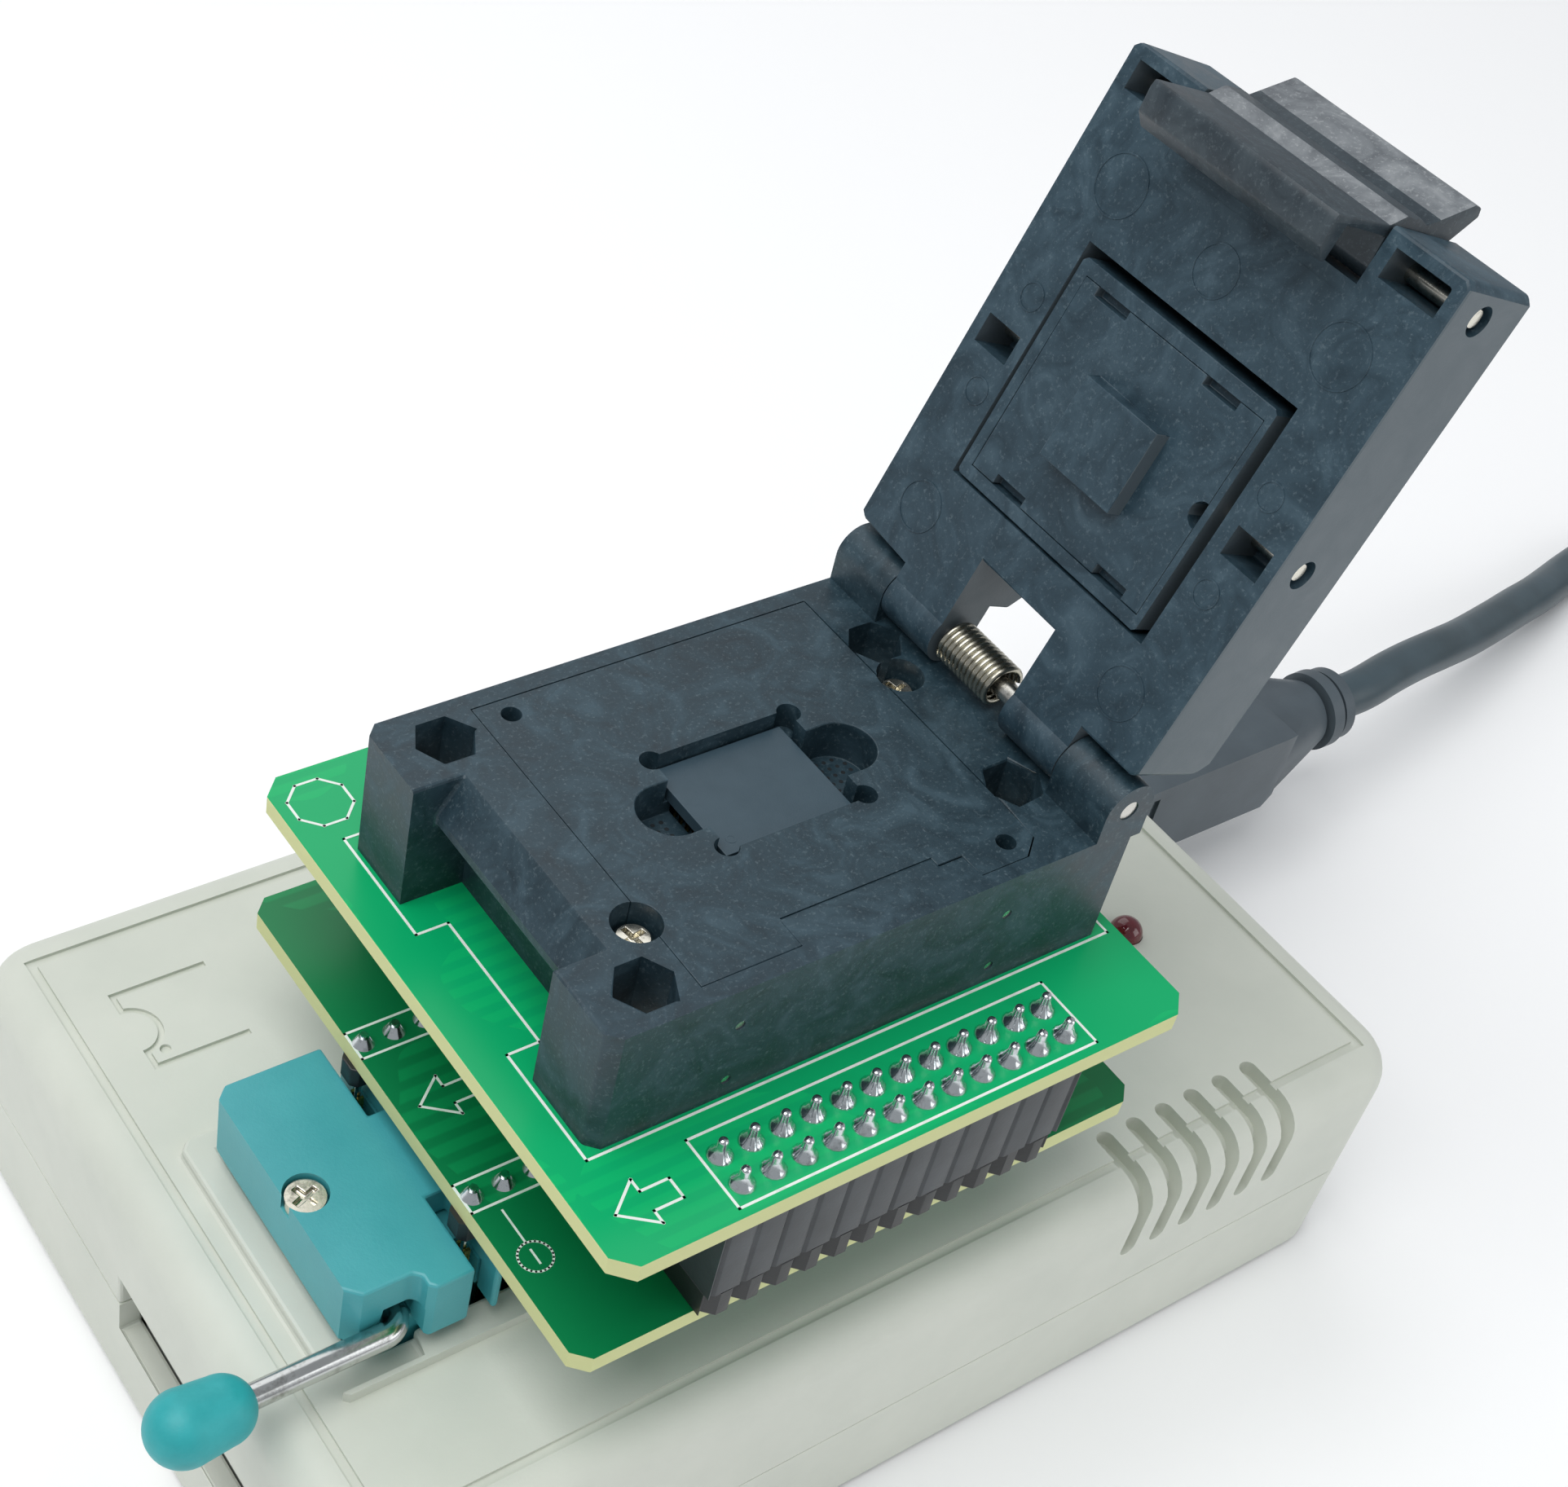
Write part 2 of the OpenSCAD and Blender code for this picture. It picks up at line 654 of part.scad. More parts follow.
module socket_bolts() color("#b8bcc0") on_socket() {
    for (p = bolt_at) translate([p[0], p[1], 0]) difference() {
        union() {
            translate([0, 0, -board_t]) cylinder(d = 2, h = 7.4);
            translate([0, 0, -board_t - 1.2]) cylinder(d = 3.8, h = 1.2);
        }
        translate([-1.2, -0.25, -board_t - 1.3]) cube([2.4, 0.5, 0.8]);
        translate([-0.25, -1.2, -board_t - 1.3]) cube([0.5, 2.4, 0.8]);
    }
}

module socket_nuts() color("#aeb2b5") on_socket() {
    for (p = bolt_at) translate([p[0], p[1], 4]) difference() {
        cylinder(r = 2.28, h = 1.6, $fn = 6);
        translate([0, 0, -1]) cylinder(d = 2, h = 4);
    }
}

module side_pins() color("#c4c4c0") on_socket() {
    for (p = side_pin_at) {
        rod_y(p[0], p[1], -base_w / 2 + 0.1, -base_w / 2 + 1.1, 0.4);
        rod_y(p[0], p[1], base_w / 2 - 1.1, base_w / 2 - 0.1, 0.4);
    }
}

module hinge_pin() color("#c9ccce") on_socket() {
    rod_y(hinge_x, hinge_z, -base_w / 2 + 0.1, base_w / 2 - 0.1, hinge_pin_r);
}

module lid_spring() color("#a9a596") on_socket() {
    translate([hinge_x, -1.9, hinge_z]) rotate([-90, 0, 0]) spring(1.55, 0.5, 6.1, 12);
}

// ---------- Lid ----------

module lid() color("#36454e") on_lid() difference() {
    y = base_w / 2;
    union() {
        difference() {
            chamfered([lid_s0, -y, lid_out], [lid_s1, y, lid_in], 0.5);
            // Bevel on the outer edge at the hinge end
            translate([lid_s0, 0, lid_out]) rotate([0, 45, 0]) cube([2, 2 * y + 2, 2], center = true);
        }
        rod_y(0, 0, -9.85, 9.85, knuckle_r);
        box([0, -9.85, -knuckle_r], [lid_s0 + 1, 9.85, lid_in]);
    }
    rod_y(0, 0, -y - 1, y + 1, hinge_pin_r + 0.05);
    // Window of the hinge spring
    box([-4, window_y0, -9], [6.7, window_y1, 9]);
    // Room for the floating pusher
    box([10.2, -10.15, frame_floor], [29, 10.45, 9]);
    // Recess of the latch, with its two springs
    box([36.3, -notch_w / 2, -9], [50, notch_w / 2, 9]);
    for (e = [-5, 5]) rod_x(e, -4, 33, 37, 1.2);
    for (e = [-1, 1]) {
        box([18.5, e > 0 ? 11.3 : -14.65, -2.2], [20.75, e > 0 ? 14.65 : -11.3, 9]);
        box([38.4, e > 0 ? 9.7 : -14.5, -2.2], [40.5, e > 0 ? 14.5 : -9.7, 9]);
    }
    for (p = [[latch_s, latch_z], [pusher_s, pusher_z]]) {
        rod_y(p[0], p[1], -y - 1, y + 1, pin_r);
        rod_y(p[0], p[1], -y - 1, -y + 0.8, 1.1);
        rod_y(p[0], p[1], y - 0.8, y + 1, 1.1);
    }
    // Shallow panel on the outside
    box([8, -11, lid_out - 1], [32, 11, lid_out + 0.4]);
}

module latch_pin() color("#d4d0c4") on_lid() {
    rod_y(latch_s, latch_z, -base_w / 2 + 0.35, base_w / 2 - 0.35, pin_r);
}

module pusher_pin() color("#d4d0c4") on_lid() {
    rod_y(pusher_s, pusher_z, -base_w / 2 + 0.35, base_w / 2 - 0.35, pin_r);
}

module latch_springs() color("#b9bdbf") on_lid() {
    for (e = [-5, 5]) translate([33.1, e, -4]) rotate([0, 90, 0]) spring(0.85, 0.3, 3.4, 6);
}

// Side view of the latch: hook, pivot and thumb plate
module latch_side() {
    polygon([[40.55, 6.27], [38.1, 6.27], [37.95, 6.6], [38.9, 7.7], [40.6, 7.92],
        [41.15, 7.9], [42, 1], [42.3, -3], [44.1, -5.9], [44, -6.7], [43.4, -7],
        [41.2, -5.4], [38.2, -5.4], [37.5, -4.6], [37.5, 0.6], [38.4, 1.4], [40.55, 1.7]]);
}

module latch() color("#5b656b") on_lid() difference() {
    translate([0, latch_w / 2, 0]) rotate([90, 0, 0]) linear_extrude(latch_w) latch_side();
    rod_y(latch_s, latch_z, -20, 20, pin_r + 0.05);
}

module pusher_frame() color("#303e47") on_lid() difference() {
    z1 = lid_in - 0.03;
    chamfered([frame_s0, frame_y0, z1 - frame_t], [frame_s1, frame_y1, z1], 0.3);
    box([11.45, -8.6, z1 - 1.85], [27.05, 9.3, 9]);
    // Slot that lets the frame float on its pin
    box([pusher_s - 0.7, -20, pusher_z - 0.7], [pusher_s + 0.7, 20, pusher_z + 1.4]);
    for (s = [13, 25.5]) {
        for (e = [-6.5, 7.5]) {
            translate([s, e, z1 - frame_t - 1]) cylinder(r = 1.4, h = 2.4);
        }
    }
}

module pusher_nose() color("#2f3e48") on_lid() difference() {
    z1 = lid_in - 0.03;
    union() {
        box([11.5, -8.55, z1 - 1.85], [27, 9.25, z1]);
        box([15.9, -3.25, z1], [22.3, 3.95, lid_in + 1.48]);
    }
    translate([19.5, -8.55, 0]) cylinder(r = 1, h = 5);
    for (y0 = [4.65, -6.35]) box([26.3, y0, 1], [28, y0 + 3.2, 5]);
    for (y0 = [3.95, -6.85]) box([11, y0, 1], [12.3, y0 + 3, 5]);
}

module pusher_springs() color("#b9bdbf") on_lid() {
    z = lid_in - 0.03 - frame_t;
    for (s = [13, 25.5]) {
        for (e = [-6.5, 7.5]) {
            translate([s, e, z - 1.2]) spring(0.95, 0.3, 2.5, 4);
        }
    }
}

// ---------- Cord ----------

module usb_plug() color("#4a555c") difference() {
    union() {
        hull() {
            box([case_x1 + 0.4, usb_y - 5.2, usb_z - 4.2], [84.4, usb_y + 5.2, usb_z + 4.2]);
            box([case_x1 + 1.2, usb_y - 5.7, usb_z - 4.8], [82.5, usb_y + 5.7, usb_z + 4.8]);
        }
        // Neck that narrows to the strain relief
        hull() {
            box([84.3, usb_y - 5, usb_z - 4.1], [84.4, usb_y + 5, usb_z + 4.1]);
            rod_x(usb_y, usb_z, 91.4, 91.9, 3.6);
        }
    }
    for (i = [0 : 3]) {
        for (e = [-1, 1]) {
            box([58 + i * 2, e > 0 ? usb_y + 5.3 : usb_y - 6, usb_z - 3.6],
                [58.9 + i * 2, e > 0 ? usb_y + 6 : usb_y - 5.3, usb_z + 3.6]);
        }
    }
    box([case_x1, usb_y - 4.2, usb_z - 3.9], [60, usb_y + 4.2, usb_z + 3.9]);
}

module plug_shell() color("#b9bec2") difference() {
    box([case_x1 - 10.5, usb_y - 4.2, usb_z - 3.9], [60, usb_y + 4.2, usb_z + 3.9]);
    box([case_x1 - 11, usb_y - 3.6, usb_z - 3.3], [case_x1, usb_y + 3.6, usb_z + 3.3]);
}

module strain_relief() color("#3f4a51") {
    rod_x(usb_y, usb_z, 91.9, 92.5, 3);
    rod_x(usb_y, usb_z, 92.5, 94, 4.2);
    rod_x(usb_y, usb_z, 94, 94.6, 3.1);
    rod_x(usb_y, usb_z, 94.6, 95.9, 3.9);
    rod_x(usb_y, usb_z, 95.9, exit_x, 2.9);
}

function unit(v) = v / norm(v);
function heading(p, i) = unit(p[min(i + 1, len(p) - 1)] - p[max(i - 1, 0)]);
function side(d) = unit(cross([0, 0, 1], d));

// A round tube along a list of points
module tube(p, d, sides) {
    n = len(p);
    rings = [for (i = [0 : n - 1], k = [0 : sides - 1])
        let (h = heading(p, i), s = side(h), u = cross(h, s),
            a = 360 * k / sides)
        p[i] + d / 2 * (cos(a) * s + sin(a) * u)];
    walls = [for (i = [0 : n - 2], k = [0 : sides - 1])
        let (m = (k + 1) % sides)
        [i * sides + k, (i + 1) * sides + k, (i + 1) * sides + m, i * sides + m]];
    first = [for (k = [0 : sides - 1]) k];
    last = [for (k = [sides - 1 : -1 : 0]) (n - 1) * sides + k];
    polyhedron(rings, concat(walls, [first, last]));
}

module cable() color("#3a474d") {
    tube(route, cable_d, 8);
    tube(tail, cable_d, 8);
}

module cable_coil() color("#3a474d") translate([coil_at[0], coil_at[1], 0]) {
    rotate_extrude() translate([coil_d / 2 - coil_w / 2, 0]) square([coil_w, coil_h]);
}

module coil_tie() color("#202224") translate([coil_at[0], coil_at[1], 0]) difference() {
    x = coil_d / 2 - coil_w / 2;
    box([x - 0.8, -2, 0], [x + coil_w + 0.8, 2, coil_h + 0.8]);
    box([x, -3, -1], [x + coil_w, 3, coil_h]);
}

module usb_a_plug() color("#4a555c") translate([coil_at[0], coil_at[1], 0]) {
    box([-20, -44.2, 0], [5, -36.2, 8]);
}

module usb_a_shell() color("#b9bec2") translate([coil_at[0], coil_at[1], 0]) difference() {
    box([-32, -46.2, 1.8], [-20, -34.2, 6.3]);
    box([-33, -45.8, 2.2], [-22, -34.6, 5.9]);
}

upper_case();
lower_case();
case_screws();
rubber_feet();
main_board();
board_chips();
usb_socket();
programming_header();
power_led();
zif_risers();
zif_base();
zif_cover();
zif_screws();
zif_contacts();
zif_slider();
zif_lever();
lever_knob();
lower_board();
pin_strips();
adapter_pins();
male_header_front();
male_header_back();
upper_board();
female_header_front();
female_header_back();
header_solder();
socket_base();
guide_plate();
plate_screws();
probe_block();
contact_probes();
memory_chip();
socket_bolts();
socket_nuts();
side_pins();
hinge_pin();
lid_spring();
lid();
latch_pin();
pusher_pin();
latch();
latch_springs();
pusher_frame();
pusher_nose();
pusher_springs();
usb_plug();
plug_shell();
strain_relief();
cable();
cable_coil();
coil_tie();
usb_a_plug();
usb_a_shell();
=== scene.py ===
# Finished look of the USB microcontroller programmer: pieces, finishes, cord and stage.
# Laid out as a Blender add-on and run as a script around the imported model.

import json
import math

import bmesh
import bpy
from mathutils import Matrix, Vector

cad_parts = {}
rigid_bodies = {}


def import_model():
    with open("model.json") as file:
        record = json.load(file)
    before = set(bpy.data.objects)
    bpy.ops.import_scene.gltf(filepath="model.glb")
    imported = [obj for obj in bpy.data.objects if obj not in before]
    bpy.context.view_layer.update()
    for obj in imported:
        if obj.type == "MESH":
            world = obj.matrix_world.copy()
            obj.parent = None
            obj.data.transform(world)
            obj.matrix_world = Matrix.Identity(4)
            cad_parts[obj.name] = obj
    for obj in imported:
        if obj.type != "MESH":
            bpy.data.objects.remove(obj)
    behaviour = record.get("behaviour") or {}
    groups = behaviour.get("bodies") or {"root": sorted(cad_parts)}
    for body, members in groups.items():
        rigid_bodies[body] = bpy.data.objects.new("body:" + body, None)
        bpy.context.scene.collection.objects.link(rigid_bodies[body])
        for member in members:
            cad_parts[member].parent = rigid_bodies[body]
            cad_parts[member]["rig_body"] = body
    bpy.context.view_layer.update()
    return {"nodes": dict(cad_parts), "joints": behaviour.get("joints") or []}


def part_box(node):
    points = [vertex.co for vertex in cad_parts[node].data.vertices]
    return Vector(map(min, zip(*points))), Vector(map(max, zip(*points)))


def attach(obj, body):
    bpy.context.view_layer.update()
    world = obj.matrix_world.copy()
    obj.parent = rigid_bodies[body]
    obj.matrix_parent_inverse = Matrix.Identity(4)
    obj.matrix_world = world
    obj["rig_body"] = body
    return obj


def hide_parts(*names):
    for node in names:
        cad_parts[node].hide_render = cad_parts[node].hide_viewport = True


bl_info = {
    "name": "USB Programmer Finish",
    "version": (1, 0, 0),
    "blender": (4, 5, 0),
    "location": "View3D > Sidebar > Programmer",
    "description": "Builds the finishes, small pieces, cord and stage of a USB programmer",
    "category": "Object",
}

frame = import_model()
NODES = frame["nodes"]
MM = 0.001

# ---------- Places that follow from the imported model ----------

BOARD_LOW, BOARD_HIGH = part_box("upper_board")
LOWER_LOW, LOWER_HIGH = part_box("lower_board")
BASE_LOW, BASE_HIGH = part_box("socket_base")
CHIP_LOW, CHIP_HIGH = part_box("memory_chip")
BASE_MIDDLE_X = (BASE_LOW[0] + BASE_HIGH[0]) / 2
BASE_MIDDLE_Y = (BASE_LOW[1] + BASE_HIGH[1]) / 2
BOARD_TOP = BOARD_HIGH[2]
LOWER_TOP = LOWER_HIGH[2]
PITCH = 2.54 * MM
HEADER_PINS = 12
INK_THICK = 0.03 * MM
INK_WIDTH = 0.2 * MM
ARROW = ((-2.4, 0), (0, 1.9), (0, 0.85), (2.3, 0.85), (2.3, -0.85), (0, -0.85), (0, -1.9))

JOINTS = {joint["name"]: joint for joint in frame["joints"]}
HINGE = Vector(JOINTS["lid_hinge"]["pos_m"])
LID_RISE = math.radians(68.6)
LID_ALONG = Vector((math.cos(LID_RISE), 0, math.sin(LID_RISE)))
LID_INWARD = Vector((-math.sin(LID_RISE), 0, math.cos(LID_RISE)))
LID_FACE = 1.92 * MM


def seat_on_lid(tool, middle_y):
    """Turns a shape from lid places (along, across, out of the inner face) and seats it."""
    turn = Matrix((LID_ALONG, Vector((0, 1, 0)), LID_INWARD)).transposed().to_4x4()
    onto = Matrix.Translation(HINGE) @ turn @ Matrix.Translation((0, 0, LID_FACE))
    bmesh.ops.transform(tool, verts=tool.verts, matrix=onto)
    bmesh.ops.translate(tool, verts=tool.verts, vec=(0, middle_y - HINGE.y, 0))


# ---------- Finishes ----------


def colour(code, alpha=1.0):
    """A hex sRGB colour as linear light."""
    parts = [int(code[i:i + 2], 16) / 255 for i in (1, 3, 5)]
    linear = [c / 12.92 if c <= 0.04045 else ((c + 0.055) / 1.055) ** 2.4 for c in parts]
    return (*linear, alpha)


def node(tree, kind, links=None, inputs=None, stops=(), **settings):
    """Adds a shader node with its settings, input values, ramp stops and the links into it."""
    made = tree.nodes.new(kind)
    for key, value in settings.items():
        setattr(made, key, value)
    for name, value in (inputs or {}).items():
        made.inputs[name].default_value = value
    for name, source in (links or {}).items():
        tree.links.new(source, made.inputs[name])
    if stops:
        points = made.color_ramp.elements
        while len(points) < len(stops):
            points.new(0.5)
        for point, (position, code) in zip(points, stops):
            point.position = position
            point.color = colour(code)
    return made


def material(name, roughness, metallic=0.0, **sockets):
    """A material with a Principled shader; returns it, its tree, its shader and its place."""
    made = bpy.data.materials.new(name)
    made.use_nodes = True
    tree = made.node_tree
    shader = tree.nodes["Principled BSDF"]
    shader.inputs["Roughness"].default_value = roughness
    shader.inputs["Metallic"].default_value = metallic
    for key, value in sockets.items():
        shader.inputs[key.replace("_", " ")].default_value = value
    place = node(tree, "ShaderNodeTexCoord").outputs["Object"]
    return made, tree, shader, place


def patches(tree, place, lump_mm, stops, detail, uneven=0.55, swirl=0.0):
    """Soft patches about lump_mm across, and near tones that follow them; returns both."""
    cloud = node(tree, "ShaderNodeTexNoise", {"Vector": place}, {
        "Scale": 1000 / lump_mm, "Detail": detail, "Roughness": uneven, "Distortion": swirl})
    tones = node(tree, "ShaderNodeValToRGB", {"Fac": cloud.outputs["Fac"]}, stops=stops)
    return cloud.outputs["Fac"], tones.outputs["Color"]


def grain(tree, shader, place, grit_mm, depth_mm, strength, uneven=0.55, under=None):
    """Fine relief with lumps of grit_mm, laid over another relief if there is one."""
    grit = node(tree, "ShaderNodeTexNoise", {"Vector": place}, {
        "Scale": 1000 / grit_mm, "Detail": 2, "Roughness": uneven})
    relief = node(tree, "ShaderNodeBump", {"Height": grit.outputs["Fac"]},
                  {"Distance": depth_mm * MM, "Strength": strength})
    if under:
        tree.links.new(under.outputs["Normal"], relief.inputs["Normal"])
    tree.links.new(relief.outputs["Normal"], shader.inputs["Normal"])


def moulded(name, dark, light, grain_mm, depth_mm, roughness, patch_mm=9.0, swirl=0.0):
    """Plastic injected into a spark-eroded mould: two near tones and a fine, even grain."""
    made, tree, shader, place = material(name, roughness)
    tones = patches(tree, place, patch_mm, [(0.3, dark), (0.7, light)], 4, 0.6, swirl)[1]
    tree.links.new(tones, shader.inputs["Base Color"])
    grain(tree, shader, place, grain_mm, depth_mm, 0.5, 0.6)
    return made


def glass_filled(name, dark, mid, light, fleck, roughness, ground=None):
    """Glass filled plastic, moulded hot: flow swirls, pale fibre flecks and a dry, uneven sheen.

    Where a flank tone is given, faces turned to ±Y take it instead: painted light, an even lighter
    tone standing for the brighter light that falls on those flanks. The flecks are drawn far wider
    than a fibre, because finer ones would not show."""
    swirl_mm, fleck_mm, grit_mm = 4.2, 0.32, 0.2
    made, tree, shader, place = material(name, roughness, Specular_IOR_Level=0.45)
    swirls, base = patches(tree, place, swirl_mm, [(0.3, dark), (0.52, mid), (0.72, light)],
                           5, 0.62, 1.6)
    fibres = node(tree, "ShaderNodeTexNoise", {"Vector": place}, {
        "Scale": 1000 / fleck_mm, "Detail": 2, "Roughness": 0.75})
    amount = node(tree, "ShaderNodeMapRange", {"Value": fibres.outputs["Fac"]},
                  {"From Min": 0.56, "From Max": 0.78, "To Max": 0.42})
    mixed = node(tree, "ShaderNodeMix", data_type="RGBA",
                 links={"Factor": amount.outputs[0], 6: base}, inputs={7: colour(fleck)})
    # Painted light: faces turned to ±Y take the lighter flank tone, standing for the brighter light
    # on those sides.
    if ground:
        normal = node(tree, "ShaderNodeNewGeometry").outputs["Normal"]
        facing = node(tree, "ShaderNodeSeparateXYZ", {"Vector": normal})
        across = node(tree, "ShaderNodeMath", {0: facing.outputs["Y"]}, operation="ABSOLUTE")
        lit_flank_mask = node(tree, "ShaderNodeMath", {0: across.outputs[0]}, {1: 0.9},
                     operation="GREATER_THAN")
        mixed = node(tree, "ShaderNodeMix", data_type="RGBA", inputs={7: colour(ground)},
                     links={"Factor": lit_flank_mask.outputs[0], 6: mixed.outputs[2]})
    tree.links.new(mixed.outputs[2], shader.inputs["Base Color"])
    sheen = node(tree, "ShaderNodeMapRange", {"Value": swirls}, {
        "From Min": 0.25, "From Max": 0.75, "To Min": roughness - 0.07,
        "To Max": roughness + 0.12})
    tree.links.new(sheen.outputs[0], shader.inputs["Roughness"])
    flow = node(tree, "ShaderNodeBump", {"Height": swirls},
                {"Distance": 0.05 * MM, "Strength": 0.25})
    grain(tree, shader, place, grit_mm, 0.02, 0.45, 0.7, flow)
    return made


def solder_mask(name, bare, track, edge, track_mm):
    """Circuit board with a printed, cured mask: gloss over fine copper tracks.

    The sawn edge shows the pale glass laminate, dull and without the mask."""
    zone_mm, ripple_mm = 13, 6
    gloss, dull = 0.3, 0.7
    made, tree, shader, place = material(name, gloss, Specular_IOR_Level=0.35)
    wave = node(tree, "ShaderNodeTexWave", {"Vector": place}, {
        "Scale": 1000 / track_mm / 6.28, "Distortion": 0.0}, bands_direction="Y")
    zones = node(tree, "ShaderNodeTexNoise", {"Vector": place}, {
        "Scale": 1000 / zone_mm, "Detail": 1, "Roughness": 0.4})
    routed = node(tree, "ShaderNodeMath", {0: zones.outputs["Fac"]}, {1: 0.56},
                  operation="GREATER_THAN")
    lines = node(tree, "ShaderNodeMath", {0: wave.outputs["Fac"], 1: routed.outputs[0]},
                 operation="MULTIPLY")
    tones = node(tree, "ShaderNodeValToRGB", {"Fac": lines.outputs[0]},
                 stops=[(0.25, bare), (0.6, track)])
    normal = node(tree, "ShaderNodeNewGeometry").outputs["Normal"]
    upright = node(tree, "ShaderNodeSeparateXYZ", {"Vector": normal})
    flat = node(tree, "ShaderNodeMath", {0: upright.outputs["Z"]}, operation="ABSOLUTE")
    side = node(tree, "ShaderNodeMath", {0: flat.outputs[0]}, {1: 0.5}, operation="LESS_THAN")
    mixed = node(tree, "ShaderNodeMix", data_type="RGBA", inputs={7: colour(edge)},
                 links={"Factor": side.outputs[0], 6: tones.outputs["Color"]})
    tree.links.new(mixed.outputs[2], shader.inputs["Base Color"])
    finish = node(tree, "ShaderNodeMapRange", {"Value": side.outputs[0]},
                  {"To Min": gloss, "To Max": dull})
    tree.links.new(finish.outputs[0], shader.inputs["Roughness"])
    copper = node(tree, "ShaderNodeBump", {"Height": lines.outputs[0]},
                  {"Distance": 0.03 * MM, "Strength": 0.3})
    grain(tree, shader, place, ripple_mm, 0.04, 0.15, under=copper)
    return made


def metal(name, code, roughness, scratch_mm, dull="#6f6d66"):
    """Plated or drawn metal, tumbled: fine uneven polish and a little tarnish in patches."""
    made, tree, shader, place = material(name, roughness, 1.0)
    wear, tones = patches(tree, place, scratch_mm, [(0.2, dull), (0.48, code)], 4, 0.7)
    tree.links.new(tones, shader.inputs["Base Color"])
    polish = node(tree, "ShaderNodeMapRange", {"Value": wear}, {
        "To Min": roughness + 0.14, "To Max": max(0.05, roughness - 0.08)})
    tree.links.new(polish.outputs[0], shader.inputs["Roughness"])
    grain(tree, shader, place, 0.25, 0.01, 0.3)
    return made


# ---------- Settings ----------


class PROG_PG_finish(bpy.types.PropertyGroup):
    case_tone: bpy.props.StringProperty(
        name="Case", description="Colour of the ABS case", default="#d6d9ce")
    case_shade: bpy.props.StringProperty(
        name="Case shade", description="Darker tone in the ABS case", default="#ccd0c5")
    teal_tone: bpy.props.StringProperty(
        name="Socket teal", description="Colour of the zero force socket", default="#4aa9b0")
    mask_tone: bpy.props.StringProperty(
        name="Upper board", description="Solder mask of the upper board", default="#05ad6a")
    lower_tone: bpy.props.StringProperty(
        name="Lower board", description="Solder mask of the lower board", default="#0d8a50")
    silk_tone: bpy.props.StringProperty(
        name="Legend ink", description="Screen printed legend on the boards", default="#eef5ee")
    edge_round: bpy.props.FloatProperty(
        name="Edge rounding", description="Radius of the moulded edges",
        default=0.22 * MM, unit="LENGTH")


class PROG_PG_cord(bpy.types.PropertyGroup):
    diameter: bpy.props.FloatProperty(
        name="Diameter", description="Outside diameter of the cable",
        default=4.8 * MM, unit="LENGTH")
    coil_diameter: bpy.props.FloatProperty(
        name="Coil", description="Coil diameter at the middle of its turns",
        default=56 * MM, unit="LENGTH")


class PROG_PG_stage(bpy.types.PropertyGroup):
    floor_tone: bpy.props.StringProperty(
        name="Floor", description="Colour of the floor", default="#ffffff")
    light: bpy.props.FloatProperty(
        name="Light", description="Strength of the room light", default=1.0)


# ---------- Mesh helpers ----------

LEAST_CORNER = math.radians(40)  # flatter edges are left alone
LEAST_LENGTH = 3.0  # shortest edge that is rounded, in roundings
LEAST_ROOM = 2.2  # room that a rounding needs beside it, in roundings
WELD = 2e-6
FLAT = math.radians(0.5)


def finish_mesh(mesh_tool, name, body, surface, smooth=30):
    """Makes an object of a bmesh, shades it and rides it on its body."""
    mesh = bpy.data.meshes.new(name)
    mesh_tool.to_mesh(mesh)
    mesh_tool.free()
    for stale in ("custom_normal", "sharp_edge", "sharp_face"):
        if stale in mesh.attributes:
            mesh.attributes.remove(mesh.attributes[stale])
    piece = bpy.data.objects.new(name, mesh)
    bpy.context.scene.collection.objects.link(piece)
    mesh.materials.append(surface)
    mesh.shade_smooth()
    mesh.set_sharp_from_angle(angle=math.radians(smooth))
    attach(piece, body)
    return piece


def roomy(edge, width):
    """Whether a sharp edge has room on both sides to be rounded by width."""
    if not edge.is_manifold or edge.calc_face_angle(0) < LEAST_CORNER:
        return False
    start, end = (vert.co for vert in edge.verts)
    if edge.calc_length() < LEAST_LENGTH * width:
        return False
    for vert in edge.verts:
        shortest = min(other.calc_length() for other in vert.link_edges)
        if len(vert.link_edges) != 3 or shortest < LEAST_ROOM * width:
            return False
    along = (end - start).normalized()
    for face in edge.link_faces:
        for vert in face.verts:
            if vert in edge.verts:
                continue
            off = vert.co - start
            reach = min(max(off.dot(along), 0), (end - start).length)
            if (off - along * reach).length < LEAST_ROOM * width:
                return False
    return True


def refined(name, surface, round_off=None, segments=2, smooth=20):
    """A copy of a CAD node with its long edges rounded, which stands for the node."""
    source = NODES[name]
    tool = bmesh.new()
    tool.from_mesh(source.data)
    bmesh.ops.remove_doubles(tool, verts=tool.verts, dist=WELD)
    bmesh.ops.dissolve_limit(tool, angle_limit=FLAT, verts=tool.verts, edges=tool.edges)
    if round_off:
        edges = [edge for edge in tool.edges if roomy(edge, round_off)]
        bmesh.ops.bevel(tool, geom=edges, offset=round_off, segments=segments, affect="EDGES",
                        profile=0.5, material=-1, clamp_overlap=False)
    bmesh.ops.triangulate(tool, faces=tool.faces, ngon_method="EAR_CLIP")
    piece = finish_mesh(tool, name + "_moulded", source["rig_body"], surface, smooth)
    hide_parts(name)
    return piece


def paint(name, surface):
    """Gives a CAD node's own mesh a material."""
    target = NODES[name]
    target.data.materials.clear()
    target.data.materials.append(surface)


def add_box(tool, low, high):
    """A box between two corners."""
    made = bmesh.ops.create_cube(tool, size=1.0)
    low, high = Vector(low), Vector(high)
    bmesh.ops.scale(tool, verts=made["verts"], vec=high - low)
    bmesh.ops.translate(tool, verts=made["verts"], vec=(low + high) / 2)
    return made["verts"]


